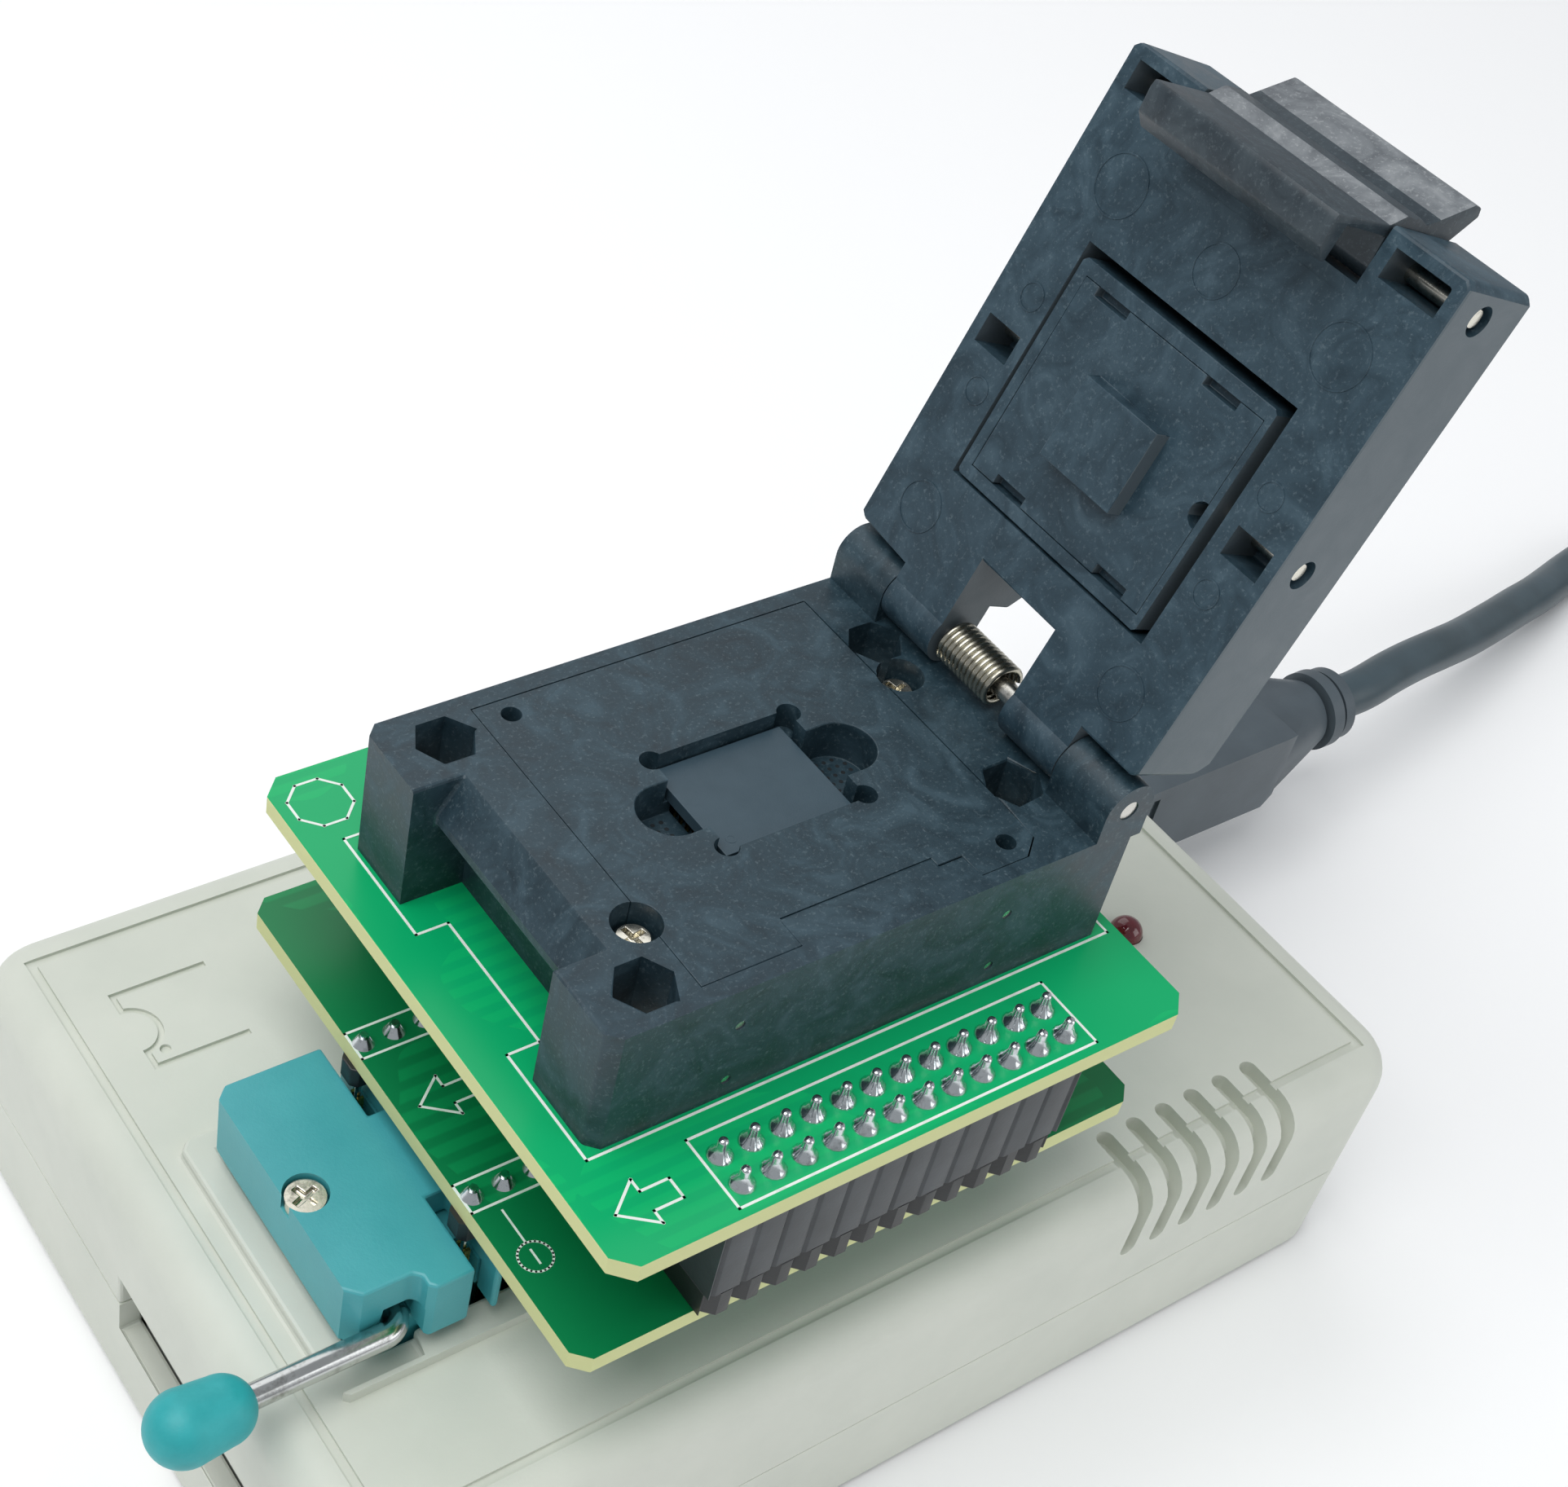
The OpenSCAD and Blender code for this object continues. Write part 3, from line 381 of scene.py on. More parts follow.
def add_stroke(tool, points, z, width=INK_WIDTH):
    """Flat strokes of ink along a line of (x, y) points, each a thin slab."""
    for start, end in zip(points, points[1:]):
        a, b = Vector((*start, z)), Vector((*end, z))
        along = b - a
        verts = add_box(tool, (-along.length / 2 - width / 2, -width / 2, 0),
                        (along.length / 2 + width / 2, width / 2, INK_THICK))
        turn = Matrix.Rotation(math.atan2(along.y, along.x), 4, "Z")
        bmesh.ops.transform(tool, verts=verts, matrix=Matrix.Translation((a + b) / 2) @ turn)


def spun(tool, profile, centre, steps, loop=False):
    """Turns (radius, height) points round an upright axis and stands the shape on centre."""
    before = set(tool.verts)
    verts = [tool.verts.new((radius, 0, height)) for radius, height in profile]
    pairs = list(zip(verts, verts[1:])) + ([(verts[-1], verts[0])] if loop else [])
    edges = [tool.edges.new(pair) for pair in pairs]
    bmesh.ops.spin(tool, geom=[*verts, *edges], cent=(0, 0, 0), axis=(0, 0, 1), angle=math.tau,
                   steps=steps, use_merge=True)
    made = [vert for vert in tool.verts if vert not in before]
    bmesh.ops.remove_doubles(tool, verts=made, dist=1e-7)
    made = [vert for vert in tool.verts if vert not in before]
    faces = {face for vert in made for face in vert.link_faces}
    bmesh.ops.recalc_face_normals(tool, faces=list(faces))
    bmesh.ops.translate(tool, verts=made, vec=centre)


def add_ring(tool, centre, inner, outer, thick, steps=40):
    """A flat ring lying on a surface."""
    spun(tool, [(inner, 0), (outer, 0), (outer, thick), (inner, thick)], centre, steps, loop=True)


def arc(centre, radius, start, end, steps):
    """Points along an arc, angles in degrees."""
    turn = [math.radians(start + (end - start) * i / steps) for i in range(steps + 1)]
    return [(centre[0] + radius * math.cos(a), centre[1] + radius * math.sin(a)) for a in turn]


def closed(points):
    """The same points, ending where they start."""
    return [*points, points[0]]


def rectangle(x0, y0, x1, y1):
    """The outline of a rectangle between two corners."""
    return closed([(x0, y0), (x1, y0), (x1, y1), (x0, y1)])


def curve_piece(name, points, radius, body, surface, sides=3):
    """A round wire or cord along points."""
    data = bpy.data.curves.new(name, "CURVE")
    data.dimensions = "3D"
    data.bevel_depth = radius
    data.bevel_resolution = sides
    data.use_fill_caps = True
    spline = data.splines.new("POLY")
    spline.points.add(len(points) - 1)
    for target, point in zip(spline.points, points):
        target.co = (*point, 1)
    data.materials.append(surface)
    piece = bpy.data.objects.new(name, data)
    bpy.context.scene.collection.objects.link(piece)
    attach(piece, body)
    return piece


def smooth_line(points, steps=5):
    """A smooth line through points."""
    line = []
    padded = [points[0] * 2 - points[1], *points, points[-1] * 2 - points[-2]]
    for a, b, c, d in zip(padded, padded[1:], padded[2:], padded[3:]):
        for i in range(steps):
            t = i / steps
            line.append(0.5 * (2 * b + (c - a) * t + (2 * a - 5 * b + 4 * c - d) * t * t
                               + (3 * b - a - 3 * c + d) * t ** 3))
    line.append(points[-1])
    return line


# ---------- Operators ----------


class PROG_OT_stage(bpy.types.Operator):
    """Floor, soft studio light and camera"""

    bl_idname = "programmer.stage"
    bl_label = "Stage"

    def execute(self, context):
        settings = context.scene.prog_stage
        camera_data = bpy.data.cameras.new("camera")
        camera_data.lens = 57.8
        camera_data.sensor_width = 36
        camera_data.shift_x = 0.08
        camera_data.shift_y = 0.05
        camera_data.clip_start = 0.01
        camera = bpy.data.objects.new("camera", camera_data)
        camera.location = (-0.096, -0.09653, 0.17528)
        camera.rotation_euler = [math.radians(a) for a in (45.604, -8.925, -34.05)]
        context.scene.collection.objects.link(camera)
        context.scene.camera = camera

        # Uncoated paper: matt, with a faint tooth.
        floor_surface, tree, shader, place = material("floor_paper", 0.6)
        shader.inputs["Base Color"].default_value = colour(settings.floor_tone)
        grain(tree, shader, place, 3, 0.01, 0.1)
        tool = bmesh.new()
        bmesh.ops.create_grid(tool, x_segments=1, y_segments=1, size=3)
        mesh = bpy.data.meshes.new("floor")
        tool.to_mesh(mesh)
        tool.free()
        mesh.materials.append(floor_surface)
        floor = bpy.data.objects.new("floor", mesh)
        context.scene.collection.objects.link(floor)

        world = bpy.data.worlds.new("soft_room")
        world.use_nodes = True
        background = world.node_tree.nodes["Background"]
        background.inputs["Color"].default_value = colour("#f2f6fb")
        background.inputs["Strength"].default_value = 0.42 * settings.light
        context.scene.world = world
        context.scene.view_settings.view_transform = "Standard"
        lamps = (
            ("key", (-0.32, 0.0, 0.75), 0.6, 4.2, (0.0, 0.0, 0.02)),
            ("fill", (0.45, -0.6, 0.35), 0.5, 1.3, (0.0, 0.0, 0.05)),
            ("back", (0.15, 0.6, 0.6), 0.7, 1.5, (0.0, 0.0, 0.03)),
        )
        for name, place_at, size, watts, target in lamps:
            data = bpy.data.lights.new(name, "AREA")
            data.size = size
            data.energy = watts * settings.light
            lamp = bpy.data.objects.new(name, data)
            lamp.location = place_at
            aim = Vector(target) - Vector(place_at)
            lamp.rotation_euler = aim.to_track_quat("-Z", "Y").to_euler()
            context.scene.collection.objects.link(lamp)
        return {"FINISHED"}


class PROG_OT_cord(bpy.types.Operator):
    """USB cable: strain relief, loose lead, coil and far plug"""

    bl_idname = "programmer.cord"
    bl_label = "Cord"

    # Places in millimetres: from the strain relief to the coil, from the coil to the far plug,
    # and the coil's middle.
    ROUTE = (
        (96.5, 13.8, 11.3), (101, 13.8, 11.3), (107, 14.8, 10.8), (112, 15.6, 10.1),
        (117.5, 16.4, 9.1), (124, 17.6, 7.6), (132.3, 19.4, 6), (138, 20.7, 5), (143.6, 21.9, 4),
        (149, 23.4, 2.9), (154, 24.6, 2.4), (159, 25.3, 2.4), (164.5, 25, 2.4), (170, 23.4, 2.4),
        (175.5, 20.6, 2.4), (181, 16.8, 2.4), (186.5, 12.3, 2.4), (192.4, 7.4, 2.4))
    TAIL = (
        (202.9, -39.8, 7.2), (200.4, -44.1, 6.6), (197.8, -48.6, 5.7), (195.2, -53, 4.9),
        (192.4, -56.7, 4.4), (188.8, -59.7, 4.1), (185.2, -61.2, 4), (181, -61.2, 4))
    COIL = (176, -21)

    def coil(self, settings):
        """Turns of the coil, three beside each other and two high."""
        d = settings.diameter
        middle = settings.coil_diameter / 2
        slots = [(1, 0), (0, 0), (-1, 0), (-1, 1), (0, 1), (1, 1)]
        stay, shift = 0.7, 0.3
        first, last, step = 60.0, -35.0 - 5 * 360, 10
        centre = Vector((self.COIL[0] * MM, self.COIL[1] * MM, d / 2))
        line = []
        count = round((first - last) / step)
        for i in range(1, count):
            swept = i * (first - last) / count
            turn, part = divmod(swept / 360, 1)
            move = min(1.0, max(0.0, (part - stay) / shift))
            move = move * move * (3 - 2 * move)
            here, after = slots[min(int(turn), 5)], slots[min(int(turn) + 1, 5)]
            column = here[0] + (after[0] - here[0]) * move
            layer = here[1] + (after[1] - here[1]) * move
            angle = math.radians(first - swept)
            radius = middle + column * d
            spoke = Vector((radius * math.cos(angle), radius * math.sin(angle), layer * d))
            line.append(centre + spoke)
        return line

    def execute(self, context):
        settings = context.scene.prog_cord
        # PVC jacket, extruded: slate grey, soft gloss, slightly cloudy.
        jacket, tree, shader, place = material("pvc_cable_jacket", 0.42)
        tones = patches(tree, place, 6, [(0.3, "#38464c"), (0.7, "#42525a")], 3)[1]
        tree.links.new(tones, shader.inputs["Base Color"])
        grain(tree, shader, place, 0.4, 0.02, 0.3)
        # PVC moulded over the plug: a little paler and duller than the jacket.
        grip = moulded("pvc_overmould", "#454f56", "#525d64", 0.35, 0.03, 0.5)

        route = smooth_line([Vector(p) * MM for p in self.ROUTE])
        tail = smooth_line([Vector(p) * MM for p in self.TAIL])
        line = route + self.coil(settings) + tail
        cord = curve_piece("usb_cable", line, settings.diameter / 2, "root", jacket,
                           sides=6)
        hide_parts("cable", "cable_coil")
        plug = refined("usb_plug", grip, 0.4 * MM)
        relief = refined("strain_relief", grip, 0.3 * MM)
        far_plug = refined("usb_a_plug", grip, 1.2 * MM)
        # Tinned steel sheet, folded: cool and bright, with soft clouds.
        steel = metal("tinned_sheet", "#c3c8cb", 0.3, 3)
        near_shell = refined("plug_shell", steel, 0.12 * MM)
        far_shell = refined("usb_a_shell", steel, 0.15 * MM)
        # Nylon tie, moulded: near black and satin.
        strap = moulded("nylon_tie", "#1c1d1f", "#26282a", 0.3, 0.02, 0.5)
        tie = refined("coil_tie", strap, 0.2 * MM)
        return {"FINISHED"}


class PROG_OT_case(bpy.types.Operator):
    """ABS case halves, feet, screws, ports, light and the parts inside"""

    bl_idname = "programmer.case"
    bl_label = "Case"

    def execute(self, context):
        settings = context.scene.prog_finish
        # ABS, moulded: warm pale grey with an even satin grain.
        shell = moulded("abs_case", settings.case_shade, settings.case_tone, 0.3, 0.02, 0.5, 14)
        refined("upper_case", shell, 0.3 * MM)
        refined("lower_case", shell, 0.3 * MM)
        # Rubber, moulded: near black and matt.
        rubber = moulded("rubber_feet_finish", "#1c1d1f", "#28292b", 0.3, 0.03, 0.75)
        refined("rubber_feet", rubber, 0.2 * MM)
        # Nickel plate is warm and mirror bright; the port's tin is cooler and softer.
        nickel = metal("nickel_screws", "#d9d5c9", 0.22, 1.2)
        steel = metal("tinned_port", "#bcc1c4", 0.3, 3)
        refined("case_screws", nickel, 0.08 * MM)
        refined("usb_socket", steel, 0.15 * MM)
        # Hidden inside: a green board, dark satin epoxy chips.
        paint("main_board", solder_mask("main_solder_mask", "#0b5a35", "#0f6e42", "#c9cb92", 0.8))
        paint("board_chips", moulded("chip_epoxy_finish", "#222427", "#2c2f33", 0.2, 0.02, 0.5))
        # Header body, moulded nylon: mid grey, satin.
        grey = moulded("port_plastic_finish", "#8f928d", "#9da09a", 0.3, 0.02, 0.5)
        refined("programming_header", grey, 0.15 * MM)

        # Epoxy lens, cast and tinted: wet gloss over a deep red that light enters.
        lens, tree, shader, place = material(
            "tinted_resin_lens", 0.12, Transmission_Weight=0.35, IOR=1.5, Coat_Weight=0.5)
        tones = patches(tree, place, 1.5, [(0.3, "#6a1520"), (0.7, "#842430")], 2)[1]
        tree.links.new(tones, shader.inputs["Base Color"])
        refined("power_led", lens, None)
        return {"FINISHED"}


class PROG_OT_zif(bpy.types.Operator):
    """Zero insertion force socket with its lever"""

    bl_idname = "programmer.zif"
    bl_label = "Zero force socket"

    def execute(self, context):
        settings = context.scene.prog_finish
        # Glass filled nylon, moulded: blue green with a low gloss and soft clouds.
        teal = moulded("teal_glass_filled", "#3f9ea6", settings.teal_tone, 0.25, 0.03, 0.36, 7)
        for name in ("zif_base", "zif_cover"):
            refined(name, teal, settings.edge_round)
        paint("zif_slider", teal)
        # Black risers, gilt contacts: dull against a warm glint.
        paint("zif_risers", moulded("riser_plastic", "#1d1f21", "#26282b", 0.25, 0.02, 0.5))
        paint("zif_contacts", metal("gilt_contacts", "#c9a85c", 0.25, 1))
        # Nickel plate: the screw warm, the drawn lever wire cooler and glossier.
        nickel = metal("nickel_cross_screw", "#dcd7c9", 0.2, 1.0)
        refined("zif_screws", nickel, 0.1 * MM)
        refined("zif_lever", metal("nickel_lever", "#c5c7c6", 0.16, 2), None)
        # Dipped vinyl knob: brighter and softer looking than the socket.
        knob = moulded("teal_knob", "#219a9e", "#2faaae", 0.5, 0.05, 0.5, 3)
        refined("lever_knob", knob, None, smooth=50)
        return {"FINISHED"}


class PROG_OT_boards(bpy.types.Operator):
    """Two adapter boards with their headers, pins, solder and printed legend"""

    bl_idname = "programmer.boards"
    bl_label = "Adapter boards"

    def solder(self, bright):
        """Solder fillets round the header pins of the upper board, drawn up to each pin."""
        low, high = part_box("header_solder")
        reach = 0.9 * MM
        points = [(0.0, -0.02), (0.95, 0.0), (0.93, 0.1), (0.78, 0.28), (0.6, 0.52),
                  (0.46, 0.85), (0.4, 1.0), (0.36, 1.45), (0.3, 1.62), (0.0, 1.68)]
        profile = [(radius * MM, height * MM) for radius, height in points]
        for side, start_y in (("front", low[1]), ("back", high[1] - PITCH - 1.8 * MM)):
            tool = bmesh.new()
            for row in range(2):
                for i in range(HEADER_PINS):
                    spun(tool, profile, (low[0] + reach + i * PITCH,
                                         start_y + reach + row * PITCH, BOARD_TOP), 16)
            piece = finish_mesh(tool, f"solder_joints_{side}", "upper_adapter", bright,
                                60)
            if side == "front":
                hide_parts("header_solder")

    def arrow(self, x, y):
        """Outline of the plain arrow that shows which way a board goes in."""
        return closed([(x + along * MM, y + across * MM) for along, across in ARROW])

    def upper_legend(self, ink):
        """Legend of the upper board: header outline, arrow, and the socket's outline."""
        tool = bmesh.new()
        x, y = BOARD_LOW[0], BOARD_LOW[1]
        header_left, header_right = x + 9.6 * MM, x + 40.5 * MM
        front = rectangle(header_left, y + 0.75 * MM, header_right, y + 6.85 * MM)
        back = rectangle(header_left, y + 41 * MM, header_right, y + 47.1 * MM)
        left, right = BASE_LOW[0] - 0.4 * MM, BASE_HIGH[0] + 0.4 * MM
        near, far = BASE_LOW[1] - 0.35 * MM, BASE_HIGH[1] + 0.35 * MM
        notch = left + 2.55 * MM
        notch_near, notch_far = BASE_LOW[1] + 9.4 * MM, BASE_LOW[1] + 21.3 * MM
        socket = closed([(left, near), (right, near), (right, far), (left, far), (left, notch_far),
                         (notch, notch_far), (notch, notch_near), (left, notch_near)])
        corner_x, corner_y, corner_radius = x + 3.2 * MM, BOARD_HIGH[1] - 3.6 * MM, 2.4 * MM
        eight = closed([(corner_x + corner_radius * math.cos(math.radians(22.5 + 45 * k)),
                         corner_y + corner_radius * math.sin(math.radians(22.5 + 45 * k)))
                        for k in range(8)])
        for points in (front, back, socket, self.arrow(x + 4.6 * MM, y + 4.0 * MM), eight):
            add_stroke(tool, points, BOARD_TOP)
        return finish_mesh(tool, "upper_legend", "upper_adapter", ink)

    def lower_legend(self, ink):
        """Legend of the lower board: outlines round both pin rows, an arrow and a ringed mark."""
        tool = bmesh.new()
        pins_low, pins_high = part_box("adapter_pins")
        half_row = 1.3 * MM
        for row_y in (pins_low[1] + 0.85 * MM, pins_high[1] - 0.85 * MM):
            add_stroke(tool, rectangle(pins_low[0] + 0.05 * MM, row_y - half_row,
                                       pins_high[0] + 0.4 * MM, row_y + half_row), LOWER_TOP)
        add_stroke(tool, self.arrow(LOWER_LOW[0] + 4 * MM, LOWER_LOW[1] + 23.4 * MM), LOWER_TOP)
        x, y = LOWER_LOW[0] + 2.1 * MM, LOWER_LOW[1] + 8.7 * MM
        ring, fine = 1.25 * MM, INK_WIDTH * 0.8
        for points in (arc((x, y), ring, 0, 360, 24), [(x, y - 0.6 * MM), (x, y + 0.6 * MM)],
                       [(x, y + ring), (x, y + 4.3 * MM)]):
            add_stroke(tool, points, LOWER_TOP, fine)
        return finish_mesh(tool, "lower_legend", "lower_adapter", ink)

    def execute(self, context):
        settings = context.scene.prog_finish
        # The upper board's mask is fresher and lighter than the lower one's.
        upper = solder_mask("upper_solder_mask", settings.mask_tone, "#0ab56c", "#d3d69c", 0.75)
        lower = solder_mask("lower_solder_mask", "#0a7a47", settings.lower_tone, "#d0d49a", 0.9)
        refined("upper_board", upper, 0.08 * MM)
        refined("lower_board", lower, 0.08 * MM)
        # Solder, reflowed bright: mirror beads that go from white to grey.
        bright = metal("bright_solder", "#d5dadc", 0.14, 0.9, "#8b8f90")
        refined("adapter_pins", bright, None)
        self.solder(bright)
        # Header bodies, moulded: the tall sockets are charcoal, the strips near black.
        black = moulded("header_plastic", "#2a2e32", "#3a3f44", 0.25, 0.02, 0.45, 5)
        for name in ("female_header_front", "female_header_back"):
            refined(name, black, 0.12 * MM)
        jet = moulded("pin_header_plastic", "#17191b", "#222427", 0.25, 0.02, 0.45)
        for name in ("male_header_front", "male_header_back", "pin_strips"):
            refined(name, jet, 0.1 * MM)
        # Epoxy ink, screen printed: off white, matt, a little thin in places.
        ink, tree, shader, place = material("legend_ink", 0.55)
        worn = patches(tree, place, 1.2, [(0.25, "#cfe3d6"), (0.45, settings.silk_tone)], 3)[1]
        tree.links.new(worn, shader.inputs["Base Color"])
        grain(tree, shader, place, 0.3, 0.01, 0.3)
        self.upper_legend(ink)
        self.lower_legend(ink)
        return {"FINISHED"}


class PROG_OT_socket(bpy.types.Operator):
    """Clamshell test socket: base, guide plate, chip, hinge and fasteners"""

    bl_idname = "programmer.socket"
    bl_label = "Test socket"

    def execute(self, context):
        settings = context.scene.prog_finish
        dark = bpy.data.materials.get("socket_glass_filled") or glass_filled(
            "socket_glass_filled", "#182a33", "#263b45", "#384e59", "#6c7d84", 0.42)
        refined("socket_base", dark, settings.edge_round)
        refined("guide_plate", dark, 0.08 * MM, 2)
        paint("probe_block", dark)
        # Nickel screws glint warm; the gilt probes are seen only as gold points.
        nickel = metal("cross_screw_nickel", "#e0dccf", 0.18, 0.9)
        refined("plate_screws", nickel, 0.06 * MM)
        refined("socket_bolts", nickel, 0.1 * MM)
        refined("socket_nuts", nickel, 0.1 * MM)
        paint("contact_probes", metal("gilt_probes", "#c9a85c", 0.25, 0.6))
        # Stainless pins, ground: small bright ends with a soft edge.
        steel = metal("ground_pins", "#cfcdc6", 0.24, 0.8)
        refined("side_pins", steel, 0.05 * MM)
        refined("hinge_pin", steel, 0.12 * MM)
        # Chip package, transfer moulded epoxy: smoother and paler than the socket.
        epoxy = moulded("memory_epoxy_finish", "#314550", "#3a4e59", 0.12, 0.015, 0.42, 4)
        refined("memory_chip", epoxy, 0.06 * MM)
        self.chip_dot(epoxy)
        # Spring wire, drawn: warm steel with a little tarnish in patches.
        self.spring(metal("spring_wire", "#b9b5a6", 0.22, 0.8))
        self.paint_hole_shadows()
        return {"FINISHED"}

    def chip_dot(self, surface):
        """Round pin one dimple's rim on the chip."""
        tool = bmesh.new()
        centre = (CHIP_LOW[0] + 1.2 * MM, CHIP_LOW[1] + 1.2 * MM, CHIP_HIGH[2])
        add_ring(tool, centre, 0.28 * MM, 0.4 * MM, 0.015 * MM, 24)
        finish_mesh(tool, "chip_pin_one_mark", "upper_adapter", surface)

    def spring(self, wire):
        """Torsion spring: twelve close turns round the hinge pin."""
        low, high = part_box("lid_spring")
        thick, turns, per_turn = 0.5 * MM, 12, 28
        radius = (high[0] - low[0]) / 2 - thick / 2
        run = high[1] - low[1] - thick
        points = []
        for i in range(turns * per_turn + 1):
            a = math.tau * i / per_turn
            points.append(HINGE + Vector((radius * math.cos(a), 0, radius * math.sin(a))))
            points[-1].y = low[1] + thick / 2 + run * i / (turns * per_turn)
        piece = curve_piece("hinge_spring_wire", points, thick / 2, "upper_adapter", wire)
        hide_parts("lid_spring")

    def paint_hole_shadows(self):
        """Painted shadow: near-black discs over the fine guide holes in the two finger recesses,
        standing for the shade inside them.
        """
        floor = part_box("guide_plate")[0][2] + 1.1 * MM
        # Painted shadow of a drilled hole's inside: almost black, no gloss.
        painted_hole_shade, tree, shader, place = material("hole_shadow", 0.8)
        tones = patches(tree, place, 0.5, [(0.4, "#12191d"), (0.6, "#1a2328")], 1)[1]
        tree.links.new(tones, shader.inputs["Base Color"])
        radius, deep = 0.17 * MM, 0.02 * MM
        spacing, recess_at, recess_radius = 0.7, 7.4 * MM, 2.1 * MM
        tool = bmesh.new()
        for side in (-1, 1):
            for i in range(5):
                for j in range(6):
                    x = side * (6.4 + i * spacing) * MM
                    y = (j - 2.5) * spacing * MM
                    if math.hypot(x - side * recess_at, y) < recess_radius:
                        made = bmesh.ops.create_cone(tool, cap_ends=True, segments=10,
                                                     radius1=radius, radius2=radius, depth=deep)
                        bmesh.ops.translate(tool, verts=made["verts"],
                                            vec=(BASE_MIDDLE_X + x, BASE_MIDDLE_Y + y, floor))
        finish_mesh(tool, "guide_hole_painted_shadows", "upper_adapter", painted_hole_shade)


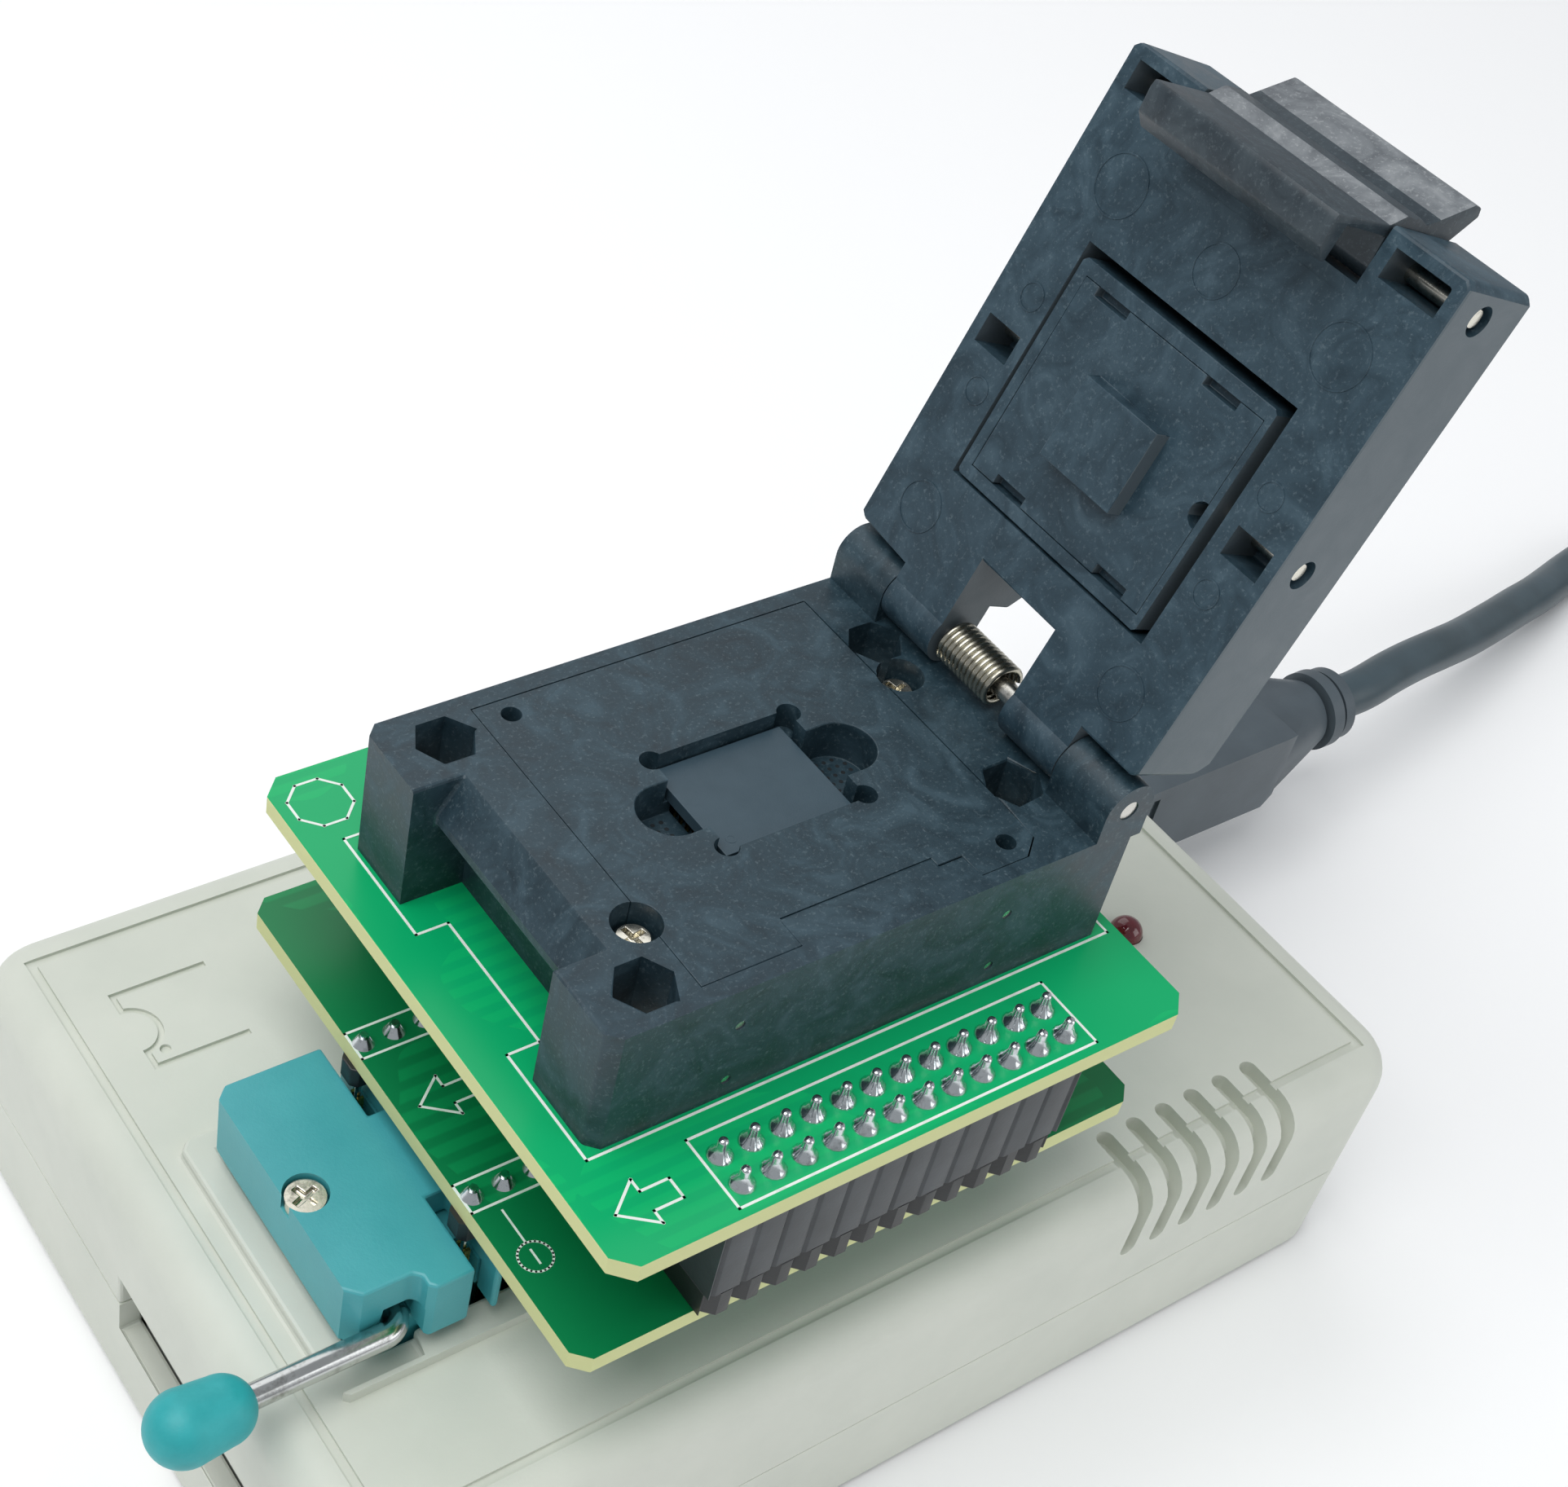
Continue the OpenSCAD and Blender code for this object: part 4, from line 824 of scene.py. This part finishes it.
class PROG_OT_lid(bpy.types.Operator):
    """Lid with its latch, floating pusher, pins and springs"""

    bl_idname = "programmer.lid"
    bl_label = "Lid"

    def execute(self, context):
        settings = context.scene.prog_finish
        # Painted light: the lid's flanks facing ±Y get the lighter tone #59646a, standing for the
        # brighter light that falls on them.
        dark = glass_filled("lid_glass_filled", "#1e323d", "#2d434f", "#3f5561", "#6c7d85", 0.42,
                            ground="#59646a")
        refined("lid", dark, settings.edge_round)
        for name in ("pusher_frame", "pusher_nose"):
            refined(name, dark, 0.08 * MM, 2)
        # The latch is smooth and darker than the lid; its tab is sandblasted pale and dry.
        self.latch(
            glass_filled("moulded_latch", "#222c33", "#303b42", "#3f4a50", "#69757a", 0.42),
            glass_filled("blasted_latch", "#565b60", "#73787c", "#8f9396", "#bdc0c1", 0.6))
        self.recess_step(dark)
        # Polished cross pins, and small springs of drawn steel.
        steel = metal("lid_pins", "#e3dfd2", 0.2, 0.8)
        for name in ("latch_pin", "pusher_pin"):
            refined(name, steel, 0.12 * MM)
        wire = metal("small_spring_wire", "#b9bdbf", 0.22, 0.8)
        for name in ("latch_springs", "pusher_springs"):
            refined(name, wire, None, smooth=60)
        self.ejector_marks(dark)
        return {"FINISHED"}

    def latch(self, smooth, blasted):
        """Latch with hook, stepped back and sandblasted finger tab, cut from one side profile."""
        low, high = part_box("latch")
        width = high[1] - low[1]
        side = ((40.55, 6.27), (38.1, 6.27), (37.95, 6.6), (38.9, 7.7), (40.6, 7.92),
                (41.15, 7.8), (41.35, 1.9), (42.15, 0.7), (42.25, -1.0), (41.95, -2.0),
                (42.55, -3.1), (44.1, -5.9), (44.0, -6.7), (43.4, -7.0), (41.2, -5.4),
                (38.2, -5.4), (37.5, -4.6), (37.5, 0.6), (38.4, 1.4), (40.55, 1.7))
        back_from, tab_under, step_low, step_high = 41.2, -3.2, 0.5, 2.0
        tool = bmesh.new()
        verts = [tool.verts.new((s * MM, -width / 2, z * MM - LID_FACE)) for s, z in side]
        face = tool.faces.new(verts)
        pulled = bmesh.ops.extrude_face_region(tool, geom=[face])["geom"]
        moved = [part for part in pulled if isinstance(part, bmesh.types.BMVert)]
        bmesh.ops.translate(tool, verts=moved, vec=(0, width, 0))
        bmesh.ops.recalc_face_normals(tool, faces=tool.faces)
        edges = [edge for edge in tool.edges if edge.calc_face_angle(0) > math.radians(25)]
        bmesh.ops.bevel(tool, geom=edges, offset=0.12 * MM, segments=2, affect="EDGES", profile=0.5,
                        material=-1, clamp_overlap=True)
        for flat in tool.faces:
            spot = flat.calc_center_median()
            height = (spot.z + LID_FACE) / MM
            back = spot.x / MM > back_from and abs(flat.normal.y) < 0.5
            blast = height < tab_under or step_low < height < step_high
            flat.material_index = int(back and blast)
        seat_on_lid(tool, (low[1] + high[1]) / 2)
        piece = finish_mesh(tool, "latch_hook_and_tab", "latch_body", smooth, 25)
        piece.data.materials.append(blasted)
        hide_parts("latch")

    def recess_step(self, surface):
        """Step that closes the lid's recess up to the latch, in front of its hook."""
        tool = bmesh.new()
        add_box(tool, (36.2 * MM, -8.69 * MM, -3.1 * MM), (37.3 * MM, 8.69 * MM, -0.01 * MM))
        seat_on_lid(tool, BASE_MIDDLE_Y)
        finish_mesh(tool, "latch_recess_step", "lid_body", surface)

    def ejector_marks(self, surface):
        """Rings left by ejector pins on the lid's inner face."""
        tool = bmesh.new()
        marks = ((6.5, 11.3, 1.9), (6.6, -10.9, 1.9), (15.8, 12.25, 1.0), (15.8, -12.1, 1.0),
                 (23.5, 12.25, 1.0), (23.5, -12.05, 1.0), (33.2, 10.6, 2.2), (33.2, -10.6, 2.2),
                 (32.6, 0.6, 1.8))
        half, sunk = 0.06, -0.005
        for along, across, radius in marks:
            add_ring(tool, (along * MM, across * MM, sunk * MM), (radius - half) * MM,
                     (radius + half) * MM, half * MM)
        seat_on_lid(tool, BASE_MIDDLE_Y)
        finish_mesh(tool, "ejector_marks", "lid_body", surface)


OPERATORS = (PROG_OT_stage, PROG_OT_cord, PROG_OT_case, PROG_OT_zif, PROG_OT_boards,
             PROG_OT_socket, PROG_OT_lid)


class PROG_PT_panel(bpy.types.Panel):
    bl_idname = "PROG_PT_panel"
    bl_label = "USB programmer"
    bl_space_type = "VIEW_3D"
    bl_region_type = "UI"
    bl_category = "Programmer"

    def draw(self, context):
        layout = self.layout
        scene = context.scene
        for owner in (scene.prog_finish, scene.prog_cord, scene.prog_stage):
            for name in owner.__annotations__:
                layout.prop(owner, name)
        for operator in OPERATORS:
            layout.operator(operator.bl_idname)


CLASSES = (PROG_PG_finish, PROG_PG_cord, PROG_PG_stage, *OPERATORS, PROG_PT_panel)


def register():
    for made in CLASSES:
        bpy.utils.register_class(made)
    bpy.types.Scene.prog_finish = bpy.props.PointerProperty(type=PROG_PG_finish)
    bpy.types.Scene.prog_cord = bpy.props.PointerProperty(type=PROG_PG_cord)
    bpy.types.Scene.prog_stage = bpy.props.PointerProperty(type=PROG_PG_stage)


def unregister():
    for name in ("prog_finish", "prog_cord", "prog_stage"):
        delattr(bpy.types.Scene, name)
    for made in reversed(CLASSES):
        bpy.utils.unregister_class(made)


def main():
    register()
    for operator in OPERATORS:
        group, name = operator.bl_idname.split(".")
        getattr(getattr(bpy.ops, group), name)()


if __name__ == "__main__":
    main()
